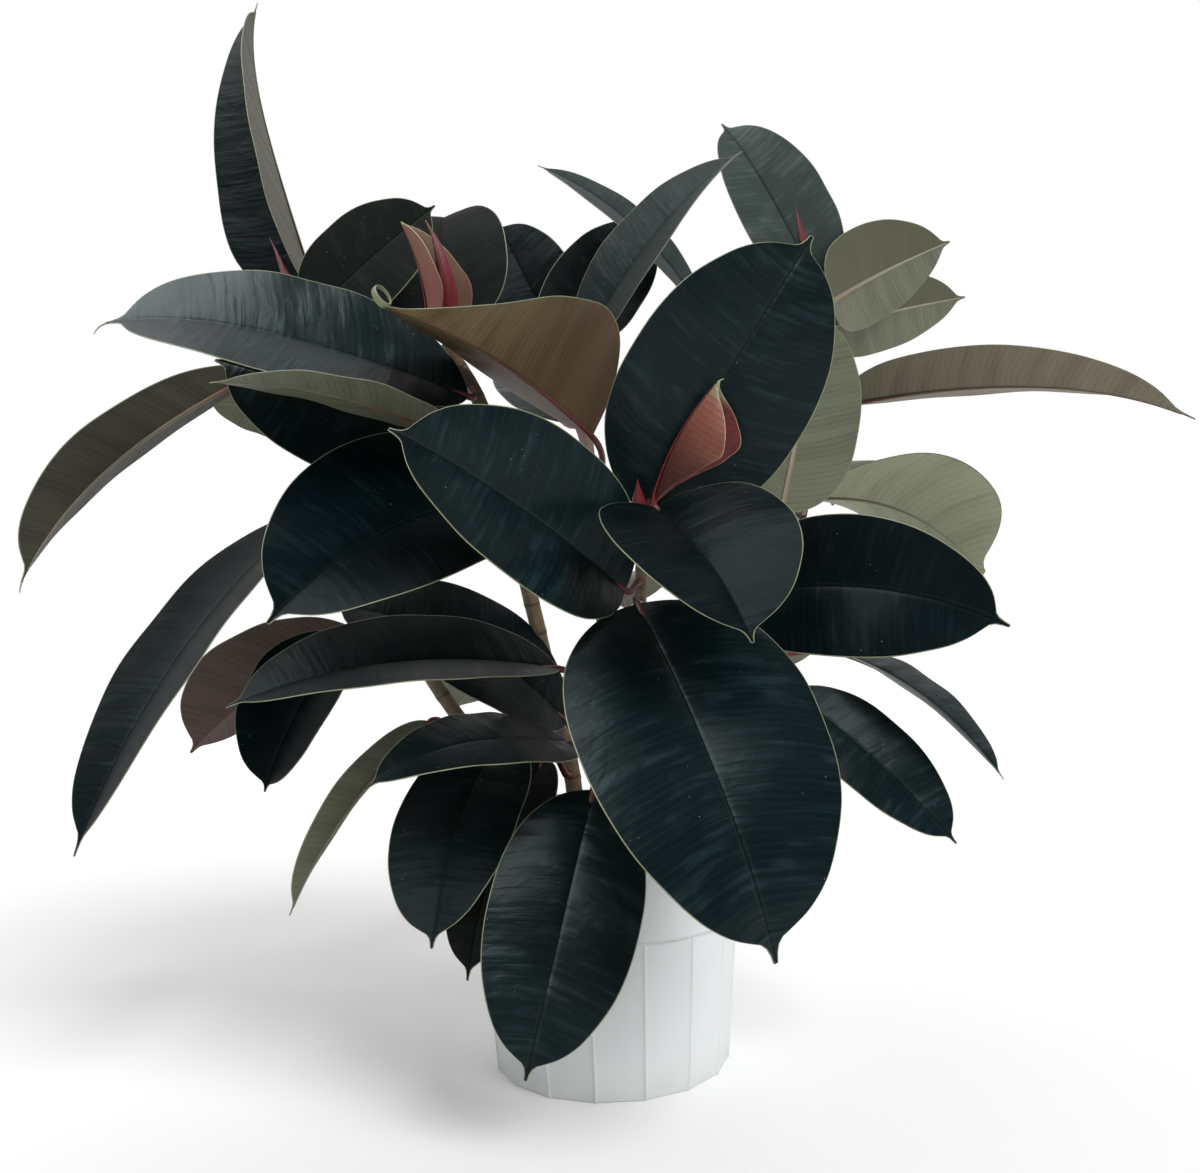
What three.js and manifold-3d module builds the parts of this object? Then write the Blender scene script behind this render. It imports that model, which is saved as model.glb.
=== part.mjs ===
// Burgundy rubber plant in a white fluted nursery pot.
// Millimetres, +Z up. The origin is the middle of the pot's foot, on the surface it stands on.
// -Y is the front of the plant.
import * as THREE from 'three';
import Module from 'manifold-3d';

const wasm = await Module();
wasm.setup();

// Driving dimensions of the pot
const POT_FACETS = 16;
const POT_FACET_TURN = -8.3;
const POT_FOOT_RADIUS = 89;
const POT_SEAM_HEIGHT = 108;
const POT_SEAM_RADIUS = 99.5;
const POT_RIM_HEIGHT = 188;
const POT_RIM_RADIUS = 107;
const POT_WALL = 2.4;
const POT_FLOOR = 3;
const BAND_SIDES = 48;
const LIP_HEIGHT = 9;
const LIP_PROUD = 2.2;
const LIP_CHAMFER = 1.2;
const FOOT_CHAMFER = 1.5;
const FOOT_RECESS_RADIUS = 70;
const FOOT_RECESS_DEPTH = 1.6;
const FOOT_BOSS_RADIUS = 24;
const DRAIN_COUNT = 8;
const DRAIN_RADIUS = 5;
const DRAIN_RING_RADIUS = 54;
const DRAIN_SIDES = 8;

// Driving dimensions of the soil and the stems
const SOIL_TOP = 168;
const SOIL_EDGE_DROP = 4;
const SOIL_RINGS = 4;
const SOIL_RING_TURN = 4;
const SOIL_RELIEF = 2.5;
const STEM_SIDES = 9;
const STEM_STEPS = 15;
const GAP = 0.3;

// Driving dimensions of a leaf
const BLADE_THICKNESS = 1.3;
const MIDRIB_DEPTH = 1.9;
const MIDRIB_TAPER = 0.85;
const MIDRIB_HALF_WIDTH = 2.6;
const BLADE_MIDDLE = 0.52;
const STALK_RUN = 0.06;
const TIP_HALF_WIDTH = 0.8;
const TAPER_MIDDLE = 0.4;
const PETIOLE_RADIUS = 2.6;
const PETIOLE_HEEL = 3.3;
const PETIOLE_MIDDLE = 0.45;

// The far end of a drooping blade bends as t - t^5, whose greatest value this is
const DROOP_PEAK = 0.535;

// Half width of a blade along its length, as a share of its widest place
const LEAF_OUTLINE = [
  [0, 0.04], [0.025, 0.27], [0.06, 0.47], [0.12, 0.68], [0.21, 0.87], [0.33, 0.98], [0.45, 1], [0.58, 0.97],
  [0.7, 0.88], [0.8, 0.73], [0.87, 0.57], [0.92, 0.37], [0.95, 0.18], [0.972, 0.07], [1, 0.02],
];
const BLADE_STATIONS = [0, 0.05, 0.13, 0.29, 0.5, 0.71, 0.87, 0.95, 1];

// Radius of a sheath along its length, as a share of its widest place
const SHEATH_OUTLINE = [[0, 0.62], [0.12, 0.9], [0.3, 1], [0.5, 0.86], [0.7, 0.55], [0.86, 0.24], [1, 0.06]];

const COLORS = {
  pot: 0xdfe4e6,
  soil: 0x2b211b,
  stem: 0x4b4236,
  leaf: 0x1c2626,
  sprout: 0xa8614e,
  sheath: 0x7d1a2b,
};

// Stem routes from the root ball to the growing point, with their radius at both ends
const STEMS = {
  left: {
    route: [
      [-34, -6, 126], [-52, -14, 190], [-110, -30, 265],
      [-164, -22, 356], [-217, 0, 493], [-240, 16, 595],
    ],
    radius: [6.5, 3.6],
  },
  centre_left: {
    route: [
      [-26, 24, 126], [-24, 18, 200], [-43, 4, 302],
      [-64, -28, 412], [-82, -60, 497], [-106, -79, 540],
    ],
    radius: [7, 3.8],
  },
  front: {
    route: [[-6, -34, 126], [-3, -44, 200], [13, -72, 270], [30, -100, 343], [33, -104, 394]],
    radius: [7, 4],
  },
  right: {
    route: [
      [34, 6, 126], [46, 8, 190], [88, 12, 260], [141, 18, 348],
      [175, 28, 431], [191, 44, 534], [198, 58, 636],
    ],
    radius: [7.5, 3.8],
  },
  centre: {
    route: [[2, 36, 126], [2, 34, 200], [4, 24, 292], [2, 6, 392], [-2, 22, 473], [-12, 56, 570]],
    radius: [7, 3.6],
  },
};

// Every leaf: the stem that carries it and the height of its joint there, the blade's base and tip,
// its full width, and the way its upper side looks. Fold lifts both halves, cup rolls their margins
// up, bow arches the midrib, droop bends its far end, sway curves it sideways, twist turns the tip,
// open is the fold that is lost by the tip, and taper narrows the far end, or widens it below zero.
const LEAVES = [
  { name: 'leaf_front_large', stem: 'front', at: 342, base: [27, -138, 338], tip: [92, -232, 131],
    width: 157, face: [0.12, -0.88, 0.46], fold: 13, cup: -16, bow: 14, droop: 10, twist: -12 },
  { name: 'leaf_front_small', stem: 'front', at: 384, base: [41, -142, 402], tip: [87, -236, 308],
    width: 122, face: [0.05, -0.67, 0.74], fold: 26, cup: -14, bow: 8, droop: 6 },
  { name: 'leaf_centre', stem: 'front', at: 356, base: [19, -126, 349], tip: [-118, -225, 440],
    width: 114, face: [0.62, -0.78, 0.07], fold: 24, cup: -8, bow: 8, droop: 4 },
  { name: 'leaf_tall_right', stem: 'front', at: 372, base: [34, -88, 408], tip: [153, -150, 581],
    width: 132, face: [-0.1, -0.97, -0.23], fold: 8, cup: -12, bow: 8 },
  { name: 'leaf_left_dark', stem: 'centre_left', at: 415, base: [-55, -60, 425], tip: [-201, -190, 331],
    width: 138, face: [0.28, -0.75, 0.6], fold: 21, cup: -10, bow: 20, droop: 4, sway: 8 },
  { name: 'leaf_left_glossy', stem: 'centre_left', at: 510, base: [-88, -92, 496], tip: [-317, -160, 534],
    width: 110, face: [0.29, -0.78, 0.55], fold: 15, cup: -6, bow: 9, droop: 12 },
  { name: 'leaf_brown_under', stem: 'centre', at: 430, base: [0, -70, 469], tip: [-116, -240, 509],
    width: 148, face: [-0.11, 0.3, 0.95], fold: 42, cup: 0, bow: 14, twist: -33, open: 34, taper: 0.15 },
  { name: 'leaf_upper_centre', stem: 'centre', at: 550, base: [-6, 16, 563], tip: [127, -40, 701],
    width: 92, face: [-0.62, -0.72, 0.3], fold: 14, cup: -4, bow: 12, droop: 4, twist: -18 },
  { name: 'leaf_thin_back', stem: 'right', at: 572, base: [98, 66, 616], tip: [-40, 58, 747],
    width: 70, face: [0.55, -0.63, 0.55], fold: 8, cup: -4, bow: 16 },
  { name: 'leaf_upper_right', stem: 'right', at: 600, base: [217, 92, 629], tip: [129, 80, 792],
    width: 94, face: [0.17, -0.99, 0.02], fold: 20, cup: -6, bow: 2, droop: 8 },
  { name: 'leaf_under_right_a', stem: 'right', at: 575, base: [216, 50, 611], tip: [337, 96, 680],
    width: 96, face: [-0.49, 0.83, 0.26], fold: 26, cup: -6, bow: 10 },
  { name: 'leaf_under_right_b', stem: 'right', at: 548, base: [217, 92, 601], tip: [377, 172, 655],
    width: 82, face: [-0.51, 0.81, 0.3], fold: 24, cup: -6, bow: 10 },
  { name: 'leaf_right_long', stem: 'right', at: 480, base: [213, 32, 512], tip: [399, -150, 447],
    width: 94, face: [0.31, -0.02, 0.95], fold: 20, cup: -6, bow: 12, droop: 9 },
  { name: 'leaf_left_long', stem: 'left', at: 520, base: [-268, 0, 549], tip: [-387, -130, 368],
    width: 64, face: [-0.88, 0.22, 0.42], fold: 34, cup: -4, bow: 22, droop: 6, taper: -0.3 },
  { name: 'leaf_upright', stem: 'left', at: 580, base: [-234, 44, 625], tip: [-287, 50, 904],
    width: 121, face: [-0.77, -0.62, -0.13], fold: 46, cup: 0, bow: 2, droop: 15, open: 14, taper: 0.7 },
  { name: 'leaf_behind_sprout', stem: 'centre_left', at: 508, base: [-116, 14, 573], tip: [-124, 70, 707],
    width: 118, face: [-0.11, -0.92, 0.38], fold: 14, cup: -8, bow: 8, droop: 18 },
  { name: 'leaf_left_inner', stem: 'left', at: 560, base: [-232, 0, 590], tip: [-120, -24, 673],
    width: 85, face: [-0.22, -0.97, -0.06], fold: 10, cup: -8, bow: 6 },
  { name: 'leaf_left_under', stem: 'centre_left', at: 470, base: [-98, -130, 458], tip: [-223, -224, 472],
    width: 86, face: [0.08, -0.05, 1], fold: 6, cup: -4, bow: 8, droop: 2 },
  { name: 'leaf_left_low', stem: 'centre_left', at: 455, base: [-104, -56, 464], tip: [-260, -120, 520],
    width: 118, face: [0.44, -0.87, 0.22], fold: 8, cup: -8, bow: 6, droop: 4 },
  { name: 'leaf_left_droop', stem: 'left', at: 420, base: [-217, -50, 421], tip: [-339, -150, 189],
    width: 100, face: [-0.6, -0.8, 0.5], fold: 15, cup: -8, bow: 20 },
  { name: 'leaf_maroon', stem: 'left', at: 370, base: [-187, 10, 325], tip: [-326, 0, 242],
    width: 92, face: [-0.42, 0.66, 0.62], fold: 32, cup: -8, bow: 10, sway: -8, taper: -0.6 },
  { name: 'leaf_left_hang', stem: 'left', at: 330, base: [-189, -40, 328], tip: [-244, -70, 217],
    width: 94, face: [-0.37, -0.85, 0.39], fold: 24, cup: -6, bow: 10 },
  { name: 'leaf_mid_left', stem: 'front', at: 283, base: [-30, -82, 298], tip: [-238, -160, 280],
    width: 98, face: [0.1, -0.48, 0.87], fold: 16, cup: -6, bow: 16, droop: 4 },
  { name: 'leaf_mid_shade', stem: 'centre_left', at: 257, base: [-27, -24, 257], tip: [-197, -66, 350],
    width: 116, face: [0.6, -0.54, 0.59], fold: 10, cup: -8, bow: 25 },
  { name: 'leaf_fan_low', stem: 'front', at: 242, base: [-21, -98, 246], tip: [-144, -186, 228],
    width: 84, face: [0.12, -0.35, 0.93], fold: 4, cup: -4, bow: 10, droop: 8, taper: 0.6 },
  { name: 'leaf_hang_low', stem: 'centre_left', at: 236, base: [-73, -45, 249], tip: [-112, -150, 124],
    width: 92, face: [-0.21, -0.71, 0.68], fold: 9, cup: -8, bow: 12, sway: 6 },
  { name: 'leaf_hang_back', stem: 'centre_left', at: 215, base: [-43, -50, 231], tip: [-93, -128, 97],
    width: 76, face: [-0.55, -0.75, 0.3], fold: 10, cup: -10, bow: 14 },
  { name: 'leaf_front_low', stem: 'front', at: 219, base: [-7, -116, 215], tip: [-52, -185, 55],
    width: 97, face: [0.09, -0.92, 0.38], fold: 6, cup: -14, bow: 12 },
  { name: 'leaf_narrow', stem: 'left', at: 257, base: [-127, -54, 262], tip: [-208, -130, 143],
    width: 42, face: [-0.86, 0.34, 0.37], fold: 26, cup: -4, bow: 12 },
  { name: 'leaf_right_low_a', stem: 'right', at: 311, base: [186, -10, 304], tip: [280, -90, 210],
    width: 56, face: [0.42, -0.43, 0.79], fold: 14, cup: -4, bow: 14, taper: 0.5 },
  { name: 'leaf_right_low_b', stem: 'right', at: 273, base: [147, -20, 275], tip: [244, -90, 167],
    width: 68, face: [0.06, -0.81, 0.58], fold: 8, cup: -8, bow: 10 },
  { name: 'leaf_right_dark', stem: 'front', at: 336, base: [90, -84, 344], tip: [255, -180, 314],
    width: 94, face: [-0.4, -0.81, 0.43], fold: 13, cup: -10, bow: 22, droop: 14, twist: 35 },
  { name: 'leaf_behind_tall', stem: 'right', at: 410, base: [139, -66, 408], tip: [185, -44, 569],
    width: 92, face: [0, 1, -0.03], fold: 8, cup: -8, bow: 8 },
  { name: 'leaf_olive_right', stem: 'right', at: 420, base: [173, 8, 429], tip: [285, -66, 357],
    width: 108, face: [0.43, -0.2, 0.88], fold: 6, cup: -8, bow: 20, twist: -66, taper: -1.4 },
  { name: 'leaf_top_back', stem: 'centre', at: 530, base: [-21, 122, 589], tip: [-85, 140, 733],
    width: 92, face: [-0.2, -1, 0], fold: 14, cup: -8, bow: 6 },
  { name: 'leaf_top_black', stem: 'centre', at: 512, base: [-32, 104, 591], tip: [60, 110, 717],
    width: 92, face: [-0.07, -0.99, 0.13], fold: 10, cup: -8, bow: 6 },
  { name: 'leaf_left_back', stem: 'left', at: 490, base: [-229, 58, 511], tip: [-330, 40, 537],
    width: 62, face: [0.07, 0.64, 0.77], fold: 8, cup: -8, bow: 8 },
  { name: 'leaf_back_a', stem: 'centre', at: 490, base: [-14, 96, 520], tip: [-61, 240, 620],
    width: 116, face: [0, -0.6, 0.8], fold: 10, cup: -10, bow: 12 },
  { name: 'leaf_back_b', stem: 'right', at: 460, base: [196, 86, 470], tip: [252, 250, 462],
    width: 110, face: [0, -0.4, 1], fold: 10, cup: -10, bow: 18 },
  { name: 'leaf_back_c', stem: 'right', at: 292, base: [122, 70, 306], tip: [190, 230, 288],
    width: 114, face: [0, 0.2, 1], fold: 10, cup: -10, bow: 18 },
  { name: 'leaf_back_d', stem: 'centre', at: 350, base: [2, 62, 365], tip: [30, 250, 358],
    width: 124, face: [0, 0.2, 1], fold: 10, cup: -10, bow: 22 },
  { name: 'leaf_back_e', stem: 'centre_left', at: 272, base: [-54, 62, 284], tip: [-150, 212, 262],
    width: 116, face: [0, 0.2, 1], fold: 10, cup: -10, bow: 18 },
  { name: 'leaf_back_f', stem: 'left', at: 460, base: [-205, 52, 452], tip: [-262, 196, 440],
    width: 106, face: [0, 0.1, 1], fold: 10, cup: -10, bow: 16 },
  { name: 'leaf_back_g', stem: 'centre', at: 257, base: [4, 86, 250], tip: [44, 216, 184],
    width: 110, face: [0, 0.6, 0.8], fold: 10, cup: -10, bow: 14 },
];

const LEAF_DEFAULTS = { fold: 8, cup: -10, bow: 10, droop: 0, sway: 0, twist: 0, open: 0, taper: 0 };

// Rolled new leaves at two of the growing points
const SPROUTS = [
  { name: 'sprout_left', stem: 'centre_left', at: 528, base: [-118, -74, 546], tip: [-135, -88, 630],
    width: 70, face: [0.9, -0.44, 0.2], fold: 45, cup: 12, bow: 6 },
  { name: 'sprout_front', stem: 'front', at: 390, base: [42, -110, 412], tip: [86, -150, 484],
    width: 82, face: [0.84, -0.24, -0.48], fold: 54, cup: 14, bow: -6 },
];

// Crimson sheaths that wrap the next bud: foot, point, bow sideways and radius
const SHEATHS = [
  { name: 'sheath_left', foot: [-107, -80, 542.5], point: [-124, -92, 622], bow: [9, -4, 0], radius: 6 },
  { name: 'sheath_front', foot: [32, -105, 395.8], point: [22, -118, 424], bow: [0, 0, 0], radius: 5 },
  { name: 'bud_far_left', foot: [-240, 16, 596], point: [-265, 12, 668], bow: [2, 0, 0], radius: 5 },
  { name: 'bud_right', foot: [198, 58, 637], point: [186, 50, 698], bow: [0, 0, 0], radius: 4.5 },
  { name: 'bud_centre', foot: [-12, 56, 571], point: [-14, 60, 616], bow: [0, 0, 0], radius: 4.5 },
];

// Points, curves and turning
const vec = (p) => new THREE.Vector3(p[0], p[1], p[2]);
const radians = (degrees) => (degrees * Math.PI) / 180;

function interpolate(table, t) {
  let row = 0;
  while (row < table.length - 2 && t > table[row + 1][0]) row += 1;
  const [t0, v0] = table[row];
  const [t1, v1] = table[row + 1];
  return v0 + ((v1 - v0) * (t - t0)) / (t1 - t0);
}

function square(v, along) {
  return v.clone().addScaledVector(along, -v.dot(along)).normalize();
}

// Closed body from rings of equal length, capped at both ends
function loft(rings, mirrored = []) {
  const count = rings[0].length;
  const positions = rings.flat().flatMap((p) => [p.x, p.y, p.z]);
  const faces = [];
  for (let i = 0; i + 1 < rings.length; i += 1) {
    for (let j = 0; j < count; j += 1) {
      const a = i * count + j;
      const b = i * count + ((j + 1) % count);
      const c = b + count;
      const d = a + count;
      const cut = mirrored.includes(j) ? [[a, b, d], [b, c, d]] : [[a, b, c], [a, c, d]];
      faces.push(...cut);
    }
  }
  const last = (rings.length - 1) * count;
  for (let j = 1; j + 1 < count; j += 1) {
    faces.push([0, j + 1, j]);
    faces.push([last, last + j, last + j + 1]);
  }
  return solid(positions, faces);
}

// Geometry whose faces look outwards
function solid(positions, faces) {
  const geometry = new THREE.BufferGeometry();
  geometry.setAttribute('position', new THREE.Float32BufferAttribute(positions, 3));
  const corner = (k) => new THREE.Vector3(positions[3 * k], positions[3 * k + 1], positions[3 * k + 2]);
  let volume = 0;
  for (const [a, b, c] of faces) volume += corner(a).dot(corner(b).cross(corner(c)));
  const index = volume > 0 ? faces : faces.map(([a, b, c]) => [a, c, b]);
  geometry.setIndex(index.flat());
  return geometry;
}

function toManifold(geometry) {
  const vertProperties = new Float32Array(geometry.attributes.position.array);
  const triVerts = new Uint32Array(geometry.index.array);
  return new wasm.Manifold(new wasm.Mesh({ numProp: 3, vertProperties, triVerts }));
}

function fromManifold(manifold) {
  const mesh = manifold.getMesh();
  const geometry = new THREE.BufferGeometry();
  geometry.setAttribute('position', new THREE.BufferAttribute(new Float32Array(mesh.vertProperties), 3));
  geometry.setIndex(new THREE.BufferAttribute(new Uint32Array(mesh.triVerts), 1));
  return geometry;
}

// Ring of points round the upright axis
function polygon(radius, height, sides, turn = 0) {
  return Array.from({ length: sides }, (unused, k) => {
    const angle = radians(turn) + (2 * Math.PI * k) / sides;
    return new THREE.Vector3(radius * Math.cos(angle), radius * Math.sin(angle), height);
  });
}

// Inside of the pot's wall, which the soil follows
const INSIDE_FOOT_RADIUS = POT_FOOT_RADIUS - POT_WALL - 2;
const INSIDE_SEAM_RADIUS = POT_SEAM_RADIUS - POT_WALL - 1;
const INSIDE_RIM_RADIUS = POT_RIM_RADIUS - POT_WALL;

// Pot: fluted wall of flat facets below the seam, plain round band and rolled lip above it.
// It stands on a foot ring and a round boss in the middle, with drain holes in the recess between.
function potGeometry() {
  const slope = (POT_RIM_RADIUS - POT_SEAM_RADIUS) / (POT_RIM_HEIGHT - POT_SEAM_HEIGHT);
  const bandRadius = (z) => POT_SEAM_RADIUS + slope * (z - POT_SEAM_HEIGHT);
  const turn = POT_FACET_TURN;
  const lipFoot = POT_RIM_HEIGHT - LIP_HEIGHT;
  const lipRadius = POT_RIM_RADIUS + LIP_PROUD;
  const fluted = loft([
    polygon(POT_FOOT_RADIUS - FOOT_CHAMFER, 0, POT_FACETS, turn),
    polygon(POT_FOOT_RADIUS, FOOT_CHAMFER, POT_FACETS, turn),
    polygon(POT_SEAM_RADIUS, POT_SEAM_HEIGHT, POT_FACETS, turn),
  ]);
  const band = loft([
    polygon(POT_SEAM_RADIUS, POT_SEAM_HEIGHT - 1, BAND_SIDES, turn),
    polygon(bandRadius(lipFoot), lipFoot, BAND_SIDES, turn),
    polygon(bandRadius(lipFoot) + LIP_PROUD, lipFoot + LIP_CHAMFER, BAND_SIDES, turn),
    polygon(lipRadius, POT_RIM_HEIGHT - LIP_CHAMFER, BAND_SIDES, turn),
    polygon(lipRadius - LIP_CHAMFER, POT_RIM_HEIGHT, BAND_SIDES, turn),
  ]);
  const inside = loft([
    polygon(INSIDE_FOOT_RADIUS, POT_FLOOR, POT_FACETS, turn),
    polygon(INSIDE_SEAM_RADIUS, POT_SEAM_HEIGHT, POT_FACETS, turn),
    polygon(INSIDE_RIM_RADIUS, POT_RIM_HEIGHT + 1, POT_FACETS, turn),
  ]);
  const recess = loft([
    polygon(FOOT_RECESS_RADIUS, -1, POT_FACETS, turn),
    polygon(FOOT_RECESS_RADIUS - 1, FOOT_RECESS_DEPTH, POT_FACETS, turn),
  ]);
  const boss = loft([
    polygon(FOOT_BOSS_RADIUS, -2, POT_FACETS, turn),
    polygon(FOOT_BOSS_RADIUS + 1, FOOT_RECESS_DEPTH + 1, POT_FACETS, turn),
  ]);
  let pot = toManifold(fluted).add(toManifold(band)).subtract(toManifold(inside));
  pot = pot.subtract(toManifold(recess).subtract(toManifold(boss)));
  for (let k = 0; k < DRAIN_COUNT; k += 1) {
    const angle = (2 * Math.PI * k) / DRAIN_COUNT;
    const shift = new THREE.Vector3(Math.cos(angle), Math.sin(angle), 0).multiplyScalar(DRAIN_RING_RADIUS);
    const ring = (z) => polygon(DRAIN_RADIUS, z, DRAIN_SIDES).map((p) => p.add(shift));
    pot = pot.subtract(toManifold(loft([ring(-1), ring(2 * POT_FLOOR)])));
  }
  return fromManifold(pot);
}

// Stem: the route as a smooth curve, with the point, direction and radius at any place on it
function stemCurve(name) {
  return new THREE.CatmullRomCurve3(STEMS[name].route.map(vec), false, 'centripetal');
}

function stemRadius(name, t) {
  const [low, high] = STEMS[name].radius;
  return low + (high - low) * t;
}

function stemPlaceAtHeight(name, height) {
  const curve = stemCurve(name);
  let low = 0;
  let high = 1;
  for (let pass = 0; pass < 30; pass += 1) {
    const middle = (low + high) / 2;
    if (curve.getPoint(middle).z < height) low = middle;
    else high = middle;
  }
  return { point: curve.getPoint(low), along: curve.getTangent(low), radius: stemRadius(name, low) };
}

function tubeRings(points, alongs, radii, sides) {
  const reference = new THREE.Vector3(1, 0, 0);
  return points.map((point, i) => {
    const x = square(reference, alongs[i]);
    const y = alongs[i].clone().cross(x).normalize();
    return Array.from({ length: sides }, (unused, k) => {
      const angle = (2 * Math.PI * k) / sides;
      return point.clone()
        .addScaledVector(x, radii[i] * Math.cos(angle))
        .addScaledVector(y, radii[i] * Math.sin(angle));
    });
  });
}

function stemGeometry(name, grow = 0) {
  const curve = stemCurve(name);
  const steps = Array.from({ length: STEM_STEPS + 1 }, (unused, k) => k / STEM_STEPS);
  const points = steps.map((t) => curve.getPoint(t));
  const alongs = steps.map((t) => curve.getTangent(t));
  const radii = steps.map((t) => stemRadius(name, t) + grow);
  return loft(tubeRings(points, alongs, radii, STEM_SIDES));
}

// Low waves of the soil's top, between -1 and 1
function soilWave(x, y, ring) {
  return Math.sin(x * 0.083 + 1) * Math.cos(y * 0.071 + ring);
}

// Soil and root ball: fills the pot, its top lies in low waves, and each stem stands in a plain hole
function soilGeometry() {
  const slope = (INSIDE_RIM_RADIUS - INSIDE_SEAM_RADIUS) / (POT_RIM_HEIGHT + 1 - POT_SEAM_HEIGHT);
  const topRadius = INSIDE_SEAM_RADIUS + slope * (SOIL_TOP - POT_SEAM_HEIGHT) - 3 * GAP;
  const turn = POT_FACET_TURN;
  const faces = [];
  const rings = [
    polygon(INSIDE_FOOT_RADIUS - 2 * GAP, POT_FLOOR + GAP, POT_FACETS, turn),
    polygon(INSIDE_SEAM_RADIUS - 2 * GAP, POT_SEAM_HEIGHT, POT_FACETS, turn),
    polygon(topRadius, SOIL_TOP - SOIL_EDGE_DROP, POT_FACETS, turn),
  ];
  for (let k = SOIL_RINGS; k > 0; k -= 1) {
    const radius = (topRadius * k) / (SOIL_RINGS + 0.3);
    const ring = polygon(radius, SOIL_TOP, POT_FACETS, turn + SOIL_RING_TURN * k);
    rings.push(ring.map((p) => p.setZ(p.z + SOIL_RELIEF * soilWave(p.x, p.y, k))));
  }
  const positions = rings.flat().flatMap((p) => [p.x, p.y, p.z]);
  const bottom = positions.length / 3;
  positions.push(0, 0, POT_FLOOR + GAP, 0, 0, SOIL_TOP);
  for (let i = 0; i < rings.length; i += 1) {
    for (let j = 0; j < POT_FACETS; j += 1) {
      const a = i * POT_FACETS + j;
      const b = i * POT_FACETS + ((j + 1) % POT_FACETS);
      if (i === 0) {
        faces.push([b, a, bottom]);
      }
      if (i < rings.length - 1) {
        faces.push([a, b, b + POT_FACETS], [a, b + POT_FACETS, a + POT_FACETS]);
      } else {
        faces.push([a, b, bottom + 1]);
      }
    }
  }
  let soil = toManifold(solid(positions, faces));
  for (const name of Object.keys(STEMS)) {
    soil = soil.subtract(toManifold(stemGeometry(name, GAP)));
  }
  return fromManifold(soil);
}

// Leaf: one loft from the heel of the petiole to the drip tip
function leafShape(row) {
  const leaf = { ...LEAF_DEFAULTS, ...row };
  const base = vec(leaf.base);
  const chord = vec(leaf.tip).sub(base);
  const ahead = chord.clone().normalize();
  const up = square(vec(leaf.face), ahead);
  const side = ahead.clone().cross(up);
  const droop = leaf.droop / DROOP_PEAK;
  const bend = (t) => leaf.bow * 4 * t * (1 - t) + droop * (t - t ** 5);
  const bendSlope = (t) => leaf.bow * 4 * (1 - 2 * t) + droop * (1 - 5 * t ** 4);
  const place = (t) => base.clone().addScaledVector(chord, t)
    .addScaledVector(up, bend(t)).addScaledVector(side, leaf.sway * 4 * t * (1 - t));
  const frame = (t) => {
    const along = chord.clone().addScaledVector(up, bendSlope(t))
      .addScaledVector(side, leaf.sway * 4 * (1 - 2 * t)).normalize();
    const angle = radians(leaf.twist) * t;
    const turned = up.clone().multiplyScalar(Math.cos(angle)).addScaledVector(side, Math.sin(angle));
    const normal = square(turned, along);
    return { along, normal, side: along.clone().cross(normal) };
  };
  return { leaf, place, frame };
}

// One half of the blade's section: how far out and how far up the point at a given run lies
function halfSection(run, fold, cup, reach) {
  const rate = cup / reach;
  if (Math.abs(rate) < 1e-6) return [run * Math.cos(fold), run * Math.sin(fold), fold];
  const end = fold + rate * run;
  return [(Math.sin(end) - Math.sin(fold)) / rate, (Math.cos(fold) - Math.cos(end)) / rate, end];
}

function bladeRing(shape, t) {
  const { leaf, place, frame } = shape;
  const { normal, side } = frame(t);
  const centre = place(t);
  const reach = leaf.width / 2;
  const least = t < 0.5 ? PETIOLE_RADIUS : TIP_HALF_WIDTH;
  const slim = 1 - leaf.taper * (t - TAPER_MIDDLE);
  const half = Math.max(reach * slim * interpolate(LEAF_OUTLINE, t), least);
  const rib = Math.min(MIDRIB_HALF_WIDTH / half, 0.3);
  const stalk = (PETIOLE_RADIUS - BLADE_THICKNESS / 2) * Math.max(0, 1 - t / STALK_RUN);
  const across = [-1, -BLADE_MIDDLE, -rib, 0, rib, BLADE_MIDDLE, 1];
  const ribDepth = MIDRIB_DEPTH * (1 - MIDRIB_TAPER * t);
  const fold = radians(leaf.fold - leaf.open * t);
  const top = [];
  const bottom = [];
  for (const s of across) {
    const run = Math.abs(s) * half;
    const [out, rise, angle] = halfSection(run, fold, radians(leaf.cup), reach);
    const sign = Math.sign(s);
    const point = centre.clone().addScaledVector(side, sign * out).addScaledVector(normal, rise);
    const facing = normal.clone().multiplyScalar(s === 0 ? 1 : Math.cos(angle))
      .addScaledVector(side, -sign * Math.sin(angle));
    const round = stalk * Math.sqrt(1 - s * s);
    const below = s === 0 ? ribDepth : 0;
    top.push(point.clone().addScaledVector(facing, BLADE_THICKNESS / 2 + round));
    bottom.push(point.clone().addScaledVector(facing, -BLADE_THICKNESS / 2 - round - below));
  }
  return [...top, ...bottom.reverse()];
}

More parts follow.
